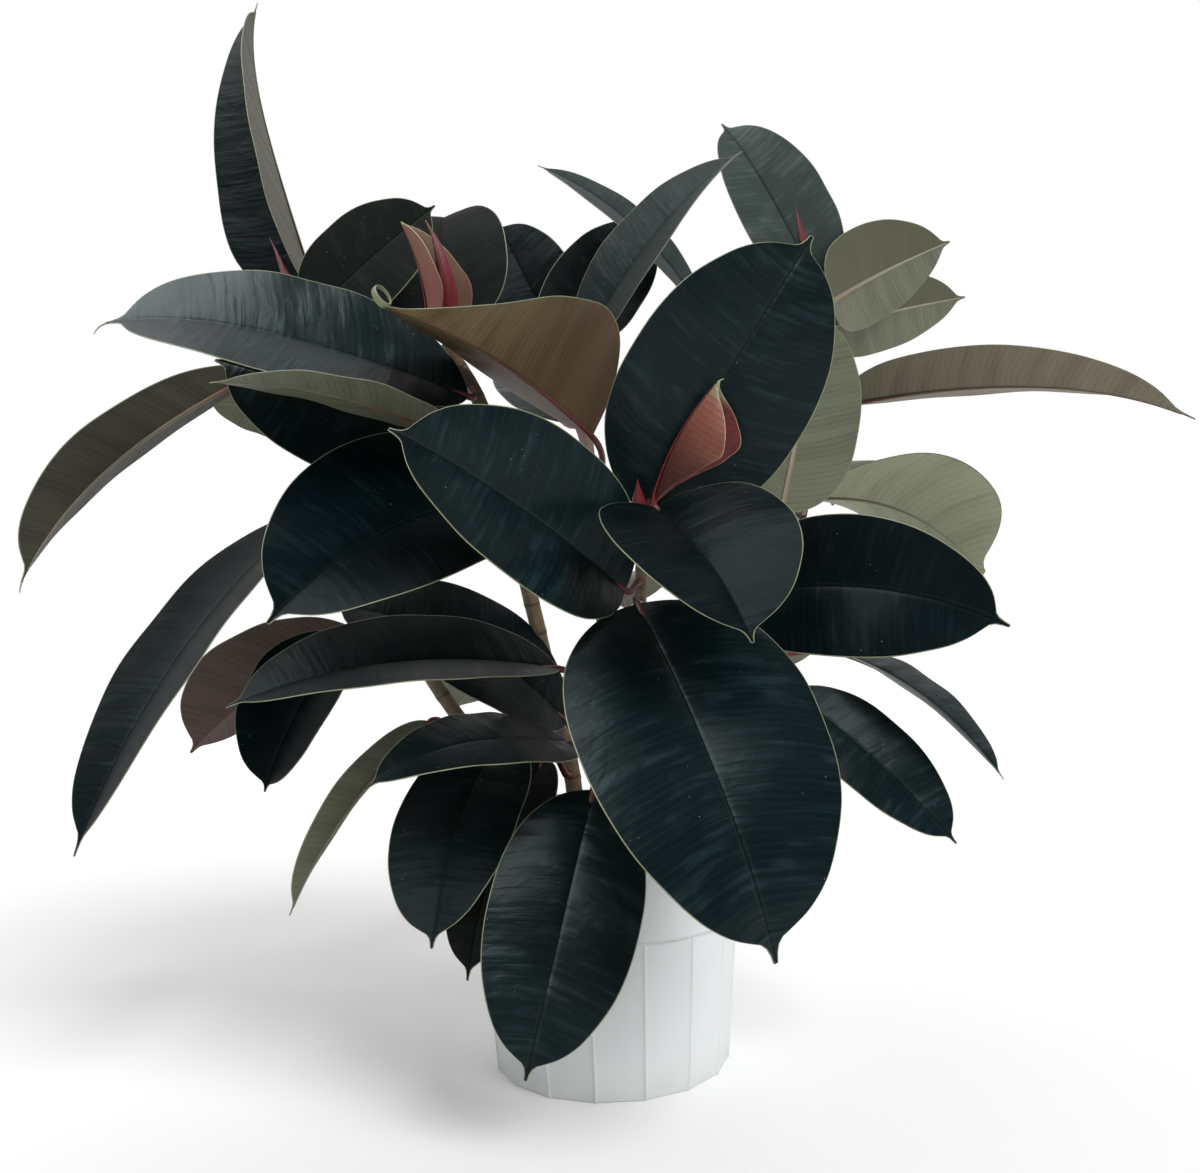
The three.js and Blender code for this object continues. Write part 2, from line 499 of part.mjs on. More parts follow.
function petioleRings(shape) {
  const { leaf, place, frame } = shape;
  const joint = stemPlaceAtHeight(leaf.stem, leaf.at);
  const end = place(0);
  const arrival = frame(0);
  const outward = square(end.clone().sub(joint.point), joint.along);
  const start = joint.point.clone().addScaledVector(outward, joint.radius + GAP);
  const reach = start.distanceTo(end);
  const curve = new THREE.CubicBezierCurve3(
    start,
    start.clone().addScaledVector(outward, 0.4 * reach),
    end.clone().addScaledVector(arrival.along, -0.35 * reach),
    end,
  );
  const across = [-1, -0.8, -0.35, 0, 0.35, 0.8, 1];
  return [0, PETIOLE_MIDDLE].map((t) => {
    const along = t === 0 ? outward : curve.getTangent(t);
    const wanted = joint.along.clone().multiplyScalar(1 - t).addScaledVector(arrival.normal, t + 0.001);
    const normal = square(wanted, along);
    const side = along.clone().cross(normal);
    const radius = t === 0 ? PETIOLE_HEEL : PETIOLE_RADIUS;
    const point = (s, sign) => curve.getPoint(t).addScaledVector(side, s * radius)
      .addScaledVector(normal, sign * radius * Math.sqrt(1 - 0.94 * s * s));
    return [...across.map((s) => point(s, 1)), ...across.map((s) => point(s, -1)).reverse()];
  });
}

// The quads of the lower side are cut along the same diagonals as those of the upper side
const LOWER_QUADS = [7, 8, 9, 10, 11, 12];

function leafGeometry(row) {
  const shape = leafShape(row);
  const blade = BLADE_STATIONS.map((t) => bladeRing(shape, t));
  return loft([...petioleRings(shape), ...blade], LOWER_QUADS);
}

// Sheath of a bud: a slim bent spindle
function sheathGeometry({ foot, point, bow, radius }) {
  const outline = SHEATH_OUTLINE;
  const start = vec(foot);
  const chord = vec(point).sub(start);
  const lean = vec(bow);
  const points = outline.map(([t]) => start.clone().addScaledVector(chord, t)
    .addScaledVector(lean, 4 * t * (1 - t)));
  const alongs = outline.map(([t]) => chord.clone().addScaledVector(lean, 4 * (1 - 2 * t)).normalize());
  return loft(tubeRings(points, alongs, outline.map(([, share]) => share * radius), STEM_SIDES));
}

// The plant in its pot
const group = new THREE.Group();

function add(name, geometry, color, roughness) {
  const material = new THREE.MeshStandardMaterial({ color, roughness, metalness: 0 });
  const mesh = new THREE.Mesh(geometry, material);
  mesh.name = name;
  group.add(mesh);
}

add('pot', potGeometry(), COLORS.pot, 0.45);
add('soil', soilGeometry(), COLORS.soil, 0.95);
Object.keys(STEMS).forEach((name) => add(`stem_${name}`, stemGeometry(name), COLORS.stem, 0.8));
LEAVES.forEach((row) => add(row.name, leafGeometry(row), COLORS.leaf, 0.35));
SPROUTS.forEach((row) => add(row.name, leafGeometry(row), COLORS.sprout, 0.45));
SHEATHS.forEach((row) => add(row.name, sheathGeometry(row), COLORS.sheath, 0.45));

export default group;
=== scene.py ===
# Looks of the potted burgundy rubber plant: fine leaves, stems, new growth, pot and soil round the
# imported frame. Sizes below are millimetres in the part's frame, and meshes are made in metres.
import math
import random
from types import SimpleNamespace

import bmesh
import bpy
import numpy as np
from mathutils import Matrix, Vector, noise


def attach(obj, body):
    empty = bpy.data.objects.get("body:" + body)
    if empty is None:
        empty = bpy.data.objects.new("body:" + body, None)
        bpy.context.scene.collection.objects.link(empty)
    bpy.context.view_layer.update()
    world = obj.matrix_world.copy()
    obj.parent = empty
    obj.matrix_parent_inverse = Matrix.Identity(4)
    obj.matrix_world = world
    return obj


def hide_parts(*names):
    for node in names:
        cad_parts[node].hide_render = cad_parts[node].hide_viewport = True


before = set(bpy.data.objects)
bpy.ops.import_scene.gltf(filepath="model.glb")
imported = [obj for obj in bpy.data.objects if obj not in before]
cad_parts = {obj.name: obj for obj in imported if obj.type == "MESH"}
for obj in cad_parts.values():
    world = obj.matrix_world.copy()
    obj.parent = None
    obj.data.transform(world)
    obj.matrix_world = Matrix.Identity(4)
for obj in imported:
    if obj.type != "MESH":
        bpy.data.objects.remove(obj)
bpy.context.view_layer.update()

MM = 0.001
BODY = "root"

# Driving dimensions of the pot
POT_FACETS = 16
POT_FACET_TURN = math.radians(-8.3)
POT_FOOT_RADIUS = 89
POT_SEAM_HEIGHT = 108
POT_SEAM_RADIUS = 99.5
POT_RIM_HEIGHT = 188
POT_RIM_RADIUS = 107
POT_WALL = 2.4
POT_FLOOR = 3
POT_BEAD = 0.75
POT_BEAD_WIDTH = 0.8
POT_RISE = (POT_RIM_RADIUS - POT_SEAM_RADIUS) / (POT_RIM_HEIGHT - POT_SEAM_HEIGHT)
LIP_HEIGHT = 9
LIP_PROUD = 2.2
FOOT_RECESS_RADIUS = 70
FOOT_RECESS_DEPTH = 1.6
FOOT_BOSS_RADIUS = 24
FLOOR_RING_RADIUS = 42
DRAIN_COUNT = 8
DRAIN_RADIUS = 5
DRAIN_RING_RADIUS = 54
CRISP_ANGLE = math.radians(32)

# Driving dimensions of the soil
SOIL_TOP = 168
SOIL_EDGE_DROP = 4
SOIL_RELIEF = 2.5
SOIL_GAP = 0.8
SOIL_SIDES = 128
SOIL_RINGS = 44
CRUMB_COUNT = 420
PALE_SHARE = 0.1
INSIDE_FOOT_RADIUS = POT_FOOT_RADIUS - POT_WALL - 2
INSIDE_SEAM_RADIUS = POT_SEAM_RADIUS - POT_WALL - 1
INSIDE_RISE = (POT_RIM_RADIUS - POT_WALL - INSIDE_SEAM_RADIUS) / (POT_RIM_HEIGHT - POT_SEAM_HEIGHT)

# Driving dimensions of a leaf
BLADE_THICKNESS = 0.9
RIM_THICKNESS = 0.6
RIM_BULGE = 0.22
MARGIN_WIDTH = 0.5
GROOVE_DEPTH = 0.38
GROOVE_WIDTH = 1.3
PETIOLE_RADIUS = 2.5
PETIOLE_HEEL = 3.4
RIB_DEPTH = 2.1
STATIONS = 68
CELLS_PER_HALF = 15
RIB_SIDES = 14
RIB_STEPS = 16
MIDRIB_STEPS = 40
TAIL_SIDES = 10
TAIL_STEPS = 22
DROOP_PEAK = 0.535
TAPER_MIDDLE = 0.4

# Seed of the first new leaf, where the grown leaves count from 0
SPROUT_SEED = 100

# Material slots of a leaf's faces
ABOVE, BELOW, MARGIN, RIB = range(4)

# Driving dimensions of stems and sheaths
STEM_RINGS = 110
STEM_SIDES = 20
SCAR_START = 62
SCAR_SPACING = 24
SCAR_WIDTH = 1.7
LUMP_SIZE = 0.22
SHEATH_RINGS = 48
SHEATH_SIDES = 24
SHEATH_WRAP = 2.4

# Millimetres in one unit of a surface coordinate
SURFACE_UNIT = 100

# Lateral veins: distance between two, and how they lean and curve forward away from the midrib
VEIN_SPACING = 4.6
UPPER_LEAN = 0.1
UNDER_LEAN = 0.42
VEIN_CURVE = 0.0022

# Photograph's camera: focal length in pixels of the frame's width, place in metres, angles in degrees
IMAGE_WIDTH = 1200
CAMERA_FOCAL_PIXELS = 1000
CAMERA_PLACE = (0.0024, -0.8, 0.294)
CAMERA_PITCH = 4.92
CAMERA_ROLL = -2.0
SENSOR_WIDTH = 36

# Soft distant lights: direction towards each, strength, how wide it looks in degrees, and whether it
# lights the matt part of a surface or its gloss
LIGHTS = {
    "key": ((0.5, -0.62, 0.6), 3.0, 32, "matt"),
    "sheen": ((-0.34, -0.42, 0.84), 5.5, 64, "gloss"),
    "fill": ((-0.8, -0.5, 0.25), 0.6, 90, "matt"),
}

# Half width of the floor in metres, gloss above and below a leaf, and linear colours of the room
FLOOR_HALF = 30
LEAF_GLOSS = (0.84, 0.96, 0.97, 1)
UNDER_IOR = 1.2
WORLD_FRONT = (0.12, 0.12, 0.12, 1)
WORLD_BACK = (1.05, 1.05, 1.05, 1)
WORLD_SEEN = (1, 1, 1, 1)

# Half width of a blade along its length, as a share of its widest place: a grown leaf, and the new
# leaves of the front and the left growing point
OUTLINES = {
    "leaf": [(0, 0.04), (0.025, 0.27), (0.06, 0.47), (0.12, 0.68), (0.21, 0.87), (0.33, 0.98), (0.45, 1),
             (0.58, 0.97), (0.7, 0.87), (0.8, 0.7), (0.87, 0.53), (0.915, 0.35), (0.94, 0.19),
             (0.956, 0.08), (0.975, 0.04), (1, 0.02)],
    "pod": [(0, 0.05), (0.04, 0.13), (0.1, 0.22), (0.2, 0.4), (0.35, 0.7), (0.5, 0.91), (0.62, 1),
            (0.74, 0.93), (0.84, 0.7), (0.9, 0.45), (0.94, 0.22), (0.97, 0.08), (1, 0.03)],
    "flap": [(0, 0.05), (0.04, 0.4), (0.1, 0.68), (0.2, 0.9), (0.32, 1), (0.45, 0.96), (0.58, 0.82),
             (0.7, 0.66), (0.8, 0.5), (0.88, 0.34), (0.94, 0.18), (0.97, 0.08), (1, 0.03)],
}

# Radius of a sheath along its length, as a share of its widest place
SHEATH_OUTLINE = [(0, 0.62), (0.12, 0.9), (0.3, 1), (0.5, 0.86), (0.7, 0.55), (0.86, 0.24), (1, 0.06)]

# Every stem: its route from the root ball to the growing point, and its radius at both ends
STEMS = {
    "left": ([(-34, -6, 126), (-52, -14, 190), (-110, -30, 265),
              (-164, -22, 356), (-217, 0, 493), (-240, 16, 595)], (6.5, 3.6)),
    "centre_left": ([(-26, 24, 126), (-24, 18, 200), (-43, 4, 302),
                     (-64, -28, 412), (-82, -60, 497), (-106, -79, 540)], (7, 5.4)),
    "front": ([(-6, -34, 126), (-3, -44, 200), (13, -72, 270), (30, -100, 343), (33, -104, 394)], (7, 4)),
    "right": ([(34, 6, 126), (46, 8, 190), (88, 12, 260), (141, 18, 348),
               (175, 28, 431), (191, 44, 534), (198, 58, 636)], (7.5, 3.8)),
    "centre": ([(2, 36, 126), (2, 34, 200), (4, 24, 292),
                (2, 6, 392), (-2, 22, 473), (-12, 56, 570)], (7, 3.6)),
}

# Every leaf: the stem that carries it and the height of its joint there, the blade's base and tip, its
# full width, the way its upper side faces, and what isn't as in the defaults. Fold lifts both halves,
# cup rolls their margins up, bow arches the midrib, droop bends its far end, sway curves it sideways,
# twist turns the tip, open is the fold lost by the tip, and taper narrows the far end, or widens it
# below zero. Upper, under and rib name a look from the tables below. A curled tail has a length, a
# turn in degrees, the direction it turns to, and a half width.
LEAF_COLUMNS = ("name", "stem", "at", "base", "tip", "width", "face")
LEAF_DEFAULTS = dict(fold=10, cup=-8, bow=8, droop=0, sway=0, twist=0, open=0, taper=0, outline="leaf",
                     upper="satin", under="olive", rib="olive", tail=None)
LEAVES = [
    ("leaf_front_large", "front", 342, (27, -138, 338), (92, -232, 131), 157, (0.12, -0.88, 0.46),
     dict(fold=13, cup=-16, bow=14, droop=10, twist=-12)),
    ("leaf_front_small", "front", 384, (41, -142, 402), (87, -236, 308), 122, (0.05, -0.67, 0.74),
     dict(fold=26, cup=-14, droop=6, upper="deep")),
    ("leaf_centre", "front", 356, (19, -126, 349), (-118, -225, 440), 114, (0.62, -0.78, 0.07),
     dict(fold=24, droop=4)),
    ("leaf_tall_right", "front", 372, (34, -88, 408), (153, -150, 581), 132, (-0.1, -0.97, -0.23),
     dict(fold=8, cup=-12)),
    ("leaf_left_dark", "centre_left", 415, (-55, -60, 425), (-201, -190, 331), 138, (0.28, -0.75, 0.6),
     dict(fold=21, cup=-10, bow=20, droop=4, sway=8, upper="deep")),
    ("leaf_left_glossy", "centre_left", 510, (-88, -92, 496), (-317, -160, 534), 110, (0.29, -0.78, 0.55),
     dict(fold=15, cup=-6, bow=9, droop=12, upper="shiny", tail=(12, 60, (0, 0, -1), 0.7))),
    ("leaf_brown_under", "centre", 430, (0, -70, 469), (-116, -240, 509), 148, (-0.11, 0.3, 0.95),
     dict(fold=42, cup=0, bow=14, twist=-33, open=34, taper=0.15, under="brown", rib="red",
          tail=(36, 320, (-0.2, 0.3, 0.95), 2.6))),
    ("leaf_upper_centre", "centre", 550, (-6, 16, 563), (127, -40, 701), 92, (-0.62, -0.72, 0.3),
     dict(fold=14, cup=-4, bow=12, droop=4, twist=-18, upper="slate")),
    ("leaf_thin_back", "right", 572, (98, 66, 616), (-40, 58, 747), 70, (0.55, -0.63, 0.55),
     dict(fold=8, cup=-4, bow=16, upper="slate")),
    ("leaf_upper_right", "right", 600, (217, 92, 629), (129, 80, 792), 94, (0.17, -0.99, 0.02),
     dict(fold=20, cup=-6, bow=2, droop=8, upper="grey")),
    ("leaf_under_right_a", "right", 575, (216, 50, 611), (337, 96, 680), 96, (-0.49, 0.83, 0.26),
     dict(fold=26, cup=-6, bow=10, under="sage", rib="pale")),
    ("leaf_under_right_b", "right", 548, (217, 92, 601), (377, 172, 655), 82, (-0.51, 0.81, 0.3),
     dict(fold=24, cup=-6, bow=10, under="sage", rib="pale")),
    ("leaf_right_long", "right", 480, (213, 32, 512), (399, -150, 447), 94, (0.31, -0.02, 0.95),
     dict(fold=20, cup=-6, bow=12, droop=9, under="warm")),
    ("leaf_left_long", "left", 520, (-268, 0, 549), (-387, -130, 368), 64, (-0.88, 0.22, 0.42),
     dict(fold=34, cup=-4, bow=22, droop=6, taper=-0.3, under="deeper_shade", tail=(9, 30, (0, 0, -1), 0.7))),
    ("leaf_upright", "left", 580, (-234, 44, 625), (-287, 50, 904), 121, (-0.77, -0.62, -0.13),
     dict(fold=46, cup=0, bow=2, droop=15, open=14, taper=0.7, upper="deep", under="shade")),
    ("leaf_behind_sprout", "centre_left", 508, (-116, 14, 573), (-124, 70, 707), 118, (-0.11, -0.92, 0.38),
     dict(fold=14, droop=18, upper="dull")),
    ("leaf_left_inner", "left", 560, (-232, 0, 590), (-120, -24, 673), 85, (-0.22, -0.97, -0.06),
     dict(bow=6, upper="dull")),
    ("leaf_left_under", "centre_left", 470, (-98, -130, 458), (-223, -224, 472), 86, (0.08, -0.05, 1),
     dict(fold=6, cup=-4, droop=2)),
    ("leaf_left_low", "centre_left", 455, (-104, -56, 464), (-260, -120, 520), 118, (0.44, -0.87, 0.22),
     dict(fold=8, bow=6, droop=4)),
    ("leaf_left_droop", "left", 420, (-217, -50, 421), (-339, -150, 189), 100, (-0.6, -0.8, 0.5),
     dict(fold=15, bow=20, upper="deep")),
    ("leaf_maroon", "left", 370, (-187, 10, 325), (-326, 0, 242), 92, (-0.42, 0.66, 0.62),
     dict(fold=32, bow=10, sway=-8, taper=-0.6, under="maroon", rib="red")),
    ("leaf_left_hang", "left", 330, (-189, -40, 328), (-244, -70, 217), 94, (-0.37, -0.85, 0.39),
     dict(fold=24, cup=-6, bow=10, upper="deep")),
    ("leaf_mid_left", "front", 283, (-30, -82, 298), (-238, -160, 280), 98, (0.1, -0.48, 0.87),
     dict(fold=16, cup=-6, bow=16, droop=4, upper="deep")),
    ("leaf_mid_shade", "centre_left", 257, (-27, -24, 257), (-197, -66, 350), 116, (0.6, -0.54, 0.59),
     dict(bow=25, upper="deep")),
    ("leaf_fan_low", "front", 242, (-21, -98, 246), (-144, -186, 228), 84, (0.12, -0.35, 0.93),
     dict(fold=4, cup=-4, bow=10, droop=8, taper=0.6, upper="deep")),
    ("leaf_hang_low", "centre_left", 236, (-73, -45, 249), (-112, -150, 124), 92, (-0.21, -0.71, 0.68),
     dict(fold=9, bow=12, sway=6, upper="deep")),
    ("leaf_hang_back", "centre_left", 215, (-43, -50, 231), (-93, -128, 97), 76, (-0.55, -0.75, 0.3),
     dict(cup=-10, bow=14, upper="dull")),
    ("leaf_front_low", "front", 219, (-7, -116, 215), (-52, -185, 55), 97, (0.09, -0.92, 0.38),
     dict(fold=6, cup=-14, bow=12)),
    ("leaf_narrow", "left", 257, (-127, -54, 262), (-208, -130, 143), 42, (-0.86, 0.34, 0.37),
     dict(fold=26, cup=-4, bow=12, under="moss")),
    ("leaf_right_low_a", "right", 311, (186, -10, 304), (280, -90, 210), 56, (0.42, -0.43, 0.79),
     dict(fold=14, cup=-4, bow=14, taper=0.5)),
    ("leaf_right_low_b", "right", 273, (147, -20, 275), (244, -90, 167), 68, (0.06, -0.81, 0.58),
     dict(fold=8, bow=10)),
    ("leaf_right_dark", "front", 336, (90, -84, 344), (255, -180, 314), 94, (-0.4, -0.81, 0.43),
     dict(fold=13, cup=-10, bow=22, droop=14, twist=35, upper="deep")),
    ("leaf_behind_tall", "right", 410, (139, -66, 408), (185, -44, 569), 92, (0, 1, -0.03),
     dict(fold=8, rib="pale")),
    ("leaf_olive_right", "right", 420, (173, 8, 429), (285, -66, 357), 108, (0.43, -0.2, 0.88),
     dict(fold=6, bow=20, twist=-66, taper=-1.4, under="pale", rib="pale")),
    ("leaf_top_back", "centre", 530, (-21, 122, 589), (-85, 140, 733), 92, (-0.2, -1, 0),
     dict(fold=14, bow=6, upper="deep")),
    ("leaf_top_black", "centre", 512, (-32, 104, 591), (60, 110, 717), 92, (-0.07, -0.99, 0.13),
     dict(bow=6, upper="deep")),
    ("leaf_left_back", "left", 490, (-229, 58, 511), (-330, 40, 537), 62, (0.07, 0.64, 0.77),
     dict(fold=8)),
    ("leaf_back_a", "centre", 490, (-14, 96, 520), (-61, 240, 620), 116, (0, -0.6, 0.8),
     dict(cup=-10, bow=12)),
    ("leaf_back_b", "right", 460, (196, 86, 470), (252, 250, 462), 110, (0, -0.4, 1),
     dict(cup=-10, bow=18)),
    ("leaf_back_c", "right", 292, (122, 70, 306), (190, 230, 288), 114, (0, 0.2, 1),
     dict(cup=-10, bow=18)),
    ("leaf_back_d", "centre", 350, (2, 62, 365), (30, 250, 358), 124, (0, 0.2, 1),
     dict(cup=-10, bow=22)),
    ("leaf_back_e", "centre_left", 272, (-54, 62, 284), (-150, 212, 262), 116, (0, 0.2, 1),
     dict(cup=-10, bow=18)),
    ("leaf_back_f", "left", 460, (-205, 52, 452), (-262, 196, 440), 106, (0, 0.1, 1),
     dict(cup=-10, bow=16)),
    ("leaf_back_g", "centre", 257, (4, 86, 250), (44, 216, 184), 110, (0, 0.6, 0.8),
     dict(cup=-10, bow=14)),
]

# Rolled new leaves at two of the growing points
SPROUTS = [
    ("sprout_left", "centre_left", 528, (-118, -74, 546), (-135, -88, 630), 70, (0.9, -0.44, 0.2),
     dict(fold=45, cup=12, bow=6, outline="flap", upper="tan", under="orange")),
    ("sprout_front", "front", 390, (42, -110, 412), (86, -150, 484), 82, (0.84, -0.24, -0.48),
     dict(fold=54, cup=14, bow=-6, outline="pod", upper="crimson", under="salmon",
          tail=(5, 40, (1, 0, 0), 0.9))),
]

# Crimson sheaths that wrap the next bud: foot, point, sideways arch at the middle, and radius
SHEATHS = [
    ("sheath_left", (-107, -80, 542.5), (-116, -94, 628), (9, -4, 0), 7.5),
    ("sheath_front", (32, -105, 395.8), (31, -117, 426), (0, 0, 0), 6),
    ("bud_far_left", (-240, 16, 596), (-265, 12, 668), (2, 0, 0), 5),
    ("bud_right", (198, 58, 637), (186, 50, 698), (0, 0, 0), 4.5),
    ("bud_centre", (-12, 56, 571), (-14, 60, 616), (0, 0, 0), 4.5),
]

# Upper sides: deep and lit colour, the pale colour of the sheen painted on the ripples and veins,
# roughness and index of refraction. Colours of three numbers are display colours from 0 to 255.
UPPER_LOOKS = {
    "satin": ((2, 14, 18), (7, 24, 25), (38, 54, 58), 0.22, 1.27),
    # deep is a darker, less glossy copy of satin for the leaves that lie in shade: painted shade
    "deep": ((1, 9, 13), (4, 17, 19), (24, 36, 40), 0.3, 1.16),
    "dull": ((18, 23, 21), (30, 33, 29), (42, 45, 40), 0.42, 1.09),
    "shiny": ((2, 14, 17), (7, 25, 26), (40, 56, 58), 0.24, 1.33),
    "slate": ((24, 36, 36), (36, 48, 47), (62, 76, 75), 0.34, 1.16),
    # grey is a lighter copy for the leaf at the upper right that faces the camera: painted sheen
    "grey": ((46, 56, 54), (64, 74, 71), (92, 102, 99), 0.34, 1.27),
}

# Undersides: blade and vein colour, and on some the far end's colour or the other half's painted shade
UNDER_LOOKS = {
    "olive": ((108, 112, 94), (76, 78, 64)),
    "shade": ((84, 82, 72), (54, 52, 45)),
    "warm": ((132, 126, 106), (98, 90, 74)),
    "pale": ((176, 180, 154), (140, 142, 118)),
    "brown": ((103, 84, 62), (76, 58, 42), (142, 124, 90)),
    # a darker copy of the shade tone: painted shade on the underside of the long leaf at the left
    "deeper_shade": ((66, 65, 55), (43, 41, 35)),
    "moss": ((94, 96, 81), (66, 68, 56)),
    # sage: a lit half and, as its fourth colour, a darker half painted as shade
    "sage": ((122, 124, 105), (86, 86, 72), None, (80, 80, 66)),
    "maroon": ((98, 84, 78), (68, 56, 52)),
}

# Stalks and midribs: colour at the joint and at the far end
RIB_LOOKS = {
    "olive": ((96, 36, 34), (112, 104, 84)),
    "red": ((96, 28, 30), (104, 64, 54)),
    "pale": ((128, 116, 92), (146, 144, 120)),
}

# Skin and margin of the new leaves: colour at the base and towards the tip
FLESH_LOOKS = {
    "crimson": ((72, 9, 17), (104, 22, 28)),
    "salmon": ((52, 14, 16), (158, 88, 66)),
    "orange": ((138, 50, 34), (124, 80, 58)),
    "tan": ((92, 58, 43), (96, 80, 62)),
    "margin": ((120, 40, 36), (164, 156, 116)),
}


# Vectors as rows of an array
def unit(v):
    return v / np.linalg.norm(v, axis=-1, keepdims=True)


def square(v, along):
    """Direction of v at right angles to along."""
    return unit(v - np.sum(v * along, axis=-1, keepdims=True) * along)


def smoothstep(low, high, x):
    t = np.clip((x - low) / (high - low), 0, 1)
    return t * t * (3 - 2 * t)


def distances(points):
    """Distance along a line of points from its start to each of them."""
    return np.concatenate([[0], np.cumsum(np.linalg.norm(np.diff(points, axis=0), axis=1))])


def directions(points):
    return unit(np.gradient(points, axis=0))


def turns(count):
    """Angles spaced evenly round a circle."""
    return np.linspace(0, math.tau, count, endpoint=False)


def spline(points, count):
    """Points spaced evenly along a centripetal Catmull-Rom curve through the given ones."""
    dense = spline_at(points, np.linspace(0, 1, 40 * len(points)))
    run = distances(dense)
    wanted = np.linspace(0, run[-1], count)
    return np.column_stack([np.interp(wanted, run, dense[:, k]) for k in range(dense.shape[1])])


def spline_at(points, t):
    """The curve's points at shares t of its control points."""
    p = np.array(points, float)
    p = np.vstack([2 * p[0] - p[1], p, 2 * p[-1] - p[-2]])
    spans = len(p) - 3
    place = np.clip(np.asarray(t, float), 0, 1) * spans
    i = np.minimum(place.astype(int), spans - 1)
    w = (place - i)[:, None]
    p0, p1, p2, p3 = p[i], p[i + 1], p[i + 2], p[i + 3]
    d0, d1, d2 = (np.sqrt(np.linalg.norm(b - a, axis=1))[:, None] for a, b in ((p0, p1), (p1, p2), (p2, p3)))
    m1 = d1 * ((p1 - p0) / d0 - (p2 - p0) / (d0 + d1) + (p2 - p1) / d1)
    m2 = d1 * ((p2 - p1) / d1 - (p3 - p1) / (d1 + d2) + (p3 - p2) / d2)
    return ((2 * w ** 3 - 3 * w ** 2 + 1) * p1 + (w ** 3 - 2 * w ** 2 + w) * m1
            + (3 * w ** 2 - 2 * w ** 3) * p2 + (w ** 3 - w ** 2) * m2)


def add_object(name, data):
    thing = bpy.data.objects.new(name, data)
    bpy.context.scene.collection.objects.link(thing)
    return thing


def make_object(name, points, faces, materials, slots=None, uvs=None):
    """A smooth mesh object from points in millimetres, with a material slot for each face."""
    mesh = bpy.data.meshes.new(name)
    mesh.from_pydata((np.asarray(points) * MM).tolist(), [], faces)
    for material in materials:
        mesh.materials.append(material)
    if slots is not None:
        mesh.polygons.foreach_set("material_index", np.asarray(slots, np.int32))
    mesh.polygons.foreach_set("use_smooth", np.ones(len(mesh.polygons), bool))
    if uvs is not None:
        layer = mesh.uv_layers.new(name="Surface")
        corner = np.zeros(len(mesh.loops), np.int32)
        mesh.loops.foreach_get("vertex_index", corner)
        layer.data.foreach_set("uv", (np.asarray(uvs) / SURFACE_UNIT).astype(np.float32)[corner].ravel())
    mesh.validate()
    mesh.update()
    return add_object(name, mesh)


def skin_faces(rings, count):
    """Quads between rings of count points, and triangles to the two points that close the ends."""
    faces = []
    for i in range(rings - 1):
        for j in range(count):
            a = i * count + j
            b = i * count + (j + 1) % count
            faces.append((a, b, b + count, a + count))
    last = (rings - 1) * count
    end = rings * count
    for j in range(count):
        k = (j + 1) % count
        faces.append((k, j, end))
        faces.append((last + j, last + k, end + 1))
    return faces


def dress(thing, node):
    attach(thing, BODY)
    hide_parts(node)


def tube_mesh(line, across, above, widths, heights, ends, run):
    """Points, faces and surface coordinates of a closed tube, as wide and high as asked round a line."""
    rings, sides = heights.shape
    angle = turns(sides)
    skin = (across[:, None, :] * (widths * np.cos(angle))[..., None]
            + above[:, None, :] * (heights * np.sin(angle))[..., None])
    points = np.vstack([(line[:, None, :] + skin).reshape(-1, 3), ends])
    uvs = np.column_stack([np.tile(angle, rings), np.repeat(run, sides)])
    return points, skin_faces(rings, sides), np.vstack([uvs, [0, run[0]], [0, run[-1]]])


def build_tube(name, line, radii, run, past, material):
    """A round tube that closes a little past the last point of its line."""
    alongs = directions(line)
    x = square(np.broadcast_to((1.0, 0.0, 0.0), alongs.shape), alongs)
    ends = [line[0], line[-1] + past * alongs[-1]]
    points, faces, uvs = tube_mesh(line, x, np.cross(alongs, x), radii, radii, ends, run)
    return make_object(name, points, faces, [material], uvs=uvs)


# Stems
def stem_place(name, height):
    """Point, direction and radius of a stem at a height."""
    route, (foot_radius, top_radius) = STEMS[name]
    low, high = 0.0, 1.0
    for halving in range(40):
        middle = (low + high) / 2
        if spline_at(route, [middle])[0, 2] < height:
            low = middle
        else:
            high = middle
    before, point, after = spline_at(route, [max(low - 1e-3, 0), low, min(low + 1e-3, 1)])
    return point, unit(after - before), foot_radius + (top_radius - foot_radius) * low


def build_stem(name, material):
    """Bark with low lumps and a raised ring at every leaf scar."""
    route, (foot_radius, top_radius) = STEMS[name]
    points = spline(route, STEM_RINGS)
    run = distances(points)
    radius = foot_radius + (top_radius - foot_radius) * (run / run[-1])
    for scar in np.arange(SCAR_START, run[-1], SCAR_SPACING):
        radius = radius + (0.55 - 0.25 * scar / run[-1]) * np.exp(-((run - scar) / SCAR_WIDTH) ** 2)
    across = run[:, None]
    lumps = LUMP_SIZE * np.sin(3 * turns(STEM_SIDES)[None, :] + across * 0.05) * np.sin(across * 0.11)
    radii = radius[:, None] + lumps
    radii[-1] *= 0.8
    thing = build_tube(f"stem_{name}_bark", points, radii, run, 1.2, material)
    dress(thing, f"stem_{name}")


def build_sheath(name, foot, point, arch, radius, material):
    """A slender wrapped bud with the raised edge of its wrap winding round it."""
    foot = np.array(foot, float)
    chord = np.array(point, float) - foot
    t = np.linspace(0, 1, SHEATH_RINGS)
    outline = spline(SHEATH_OUTLINE, 80)
    share = np.interp(t, outline[:, 0], outline[:, 1])
    points = foot + chord * t[:, None] + np.array(arch, float) * (4 * t * (1 - t))[:, None]
    points[0] -= unit(chord)
    wrap = turns(SHEATH_SIDES)[None, :] - t[:, None] * SHEATH_WRAP
    seam = 0.09 * np.exp(-((np.mod(wrap, math.tau) - math.pi) / 0.3) ** 2)
    radii = radius * share[:, None] * (1 + seam)
    run = np.linalg.norm(chord) * t
    dress(build_tube(f"{name}_wrap", points, radii, run, 0.8, material), name)


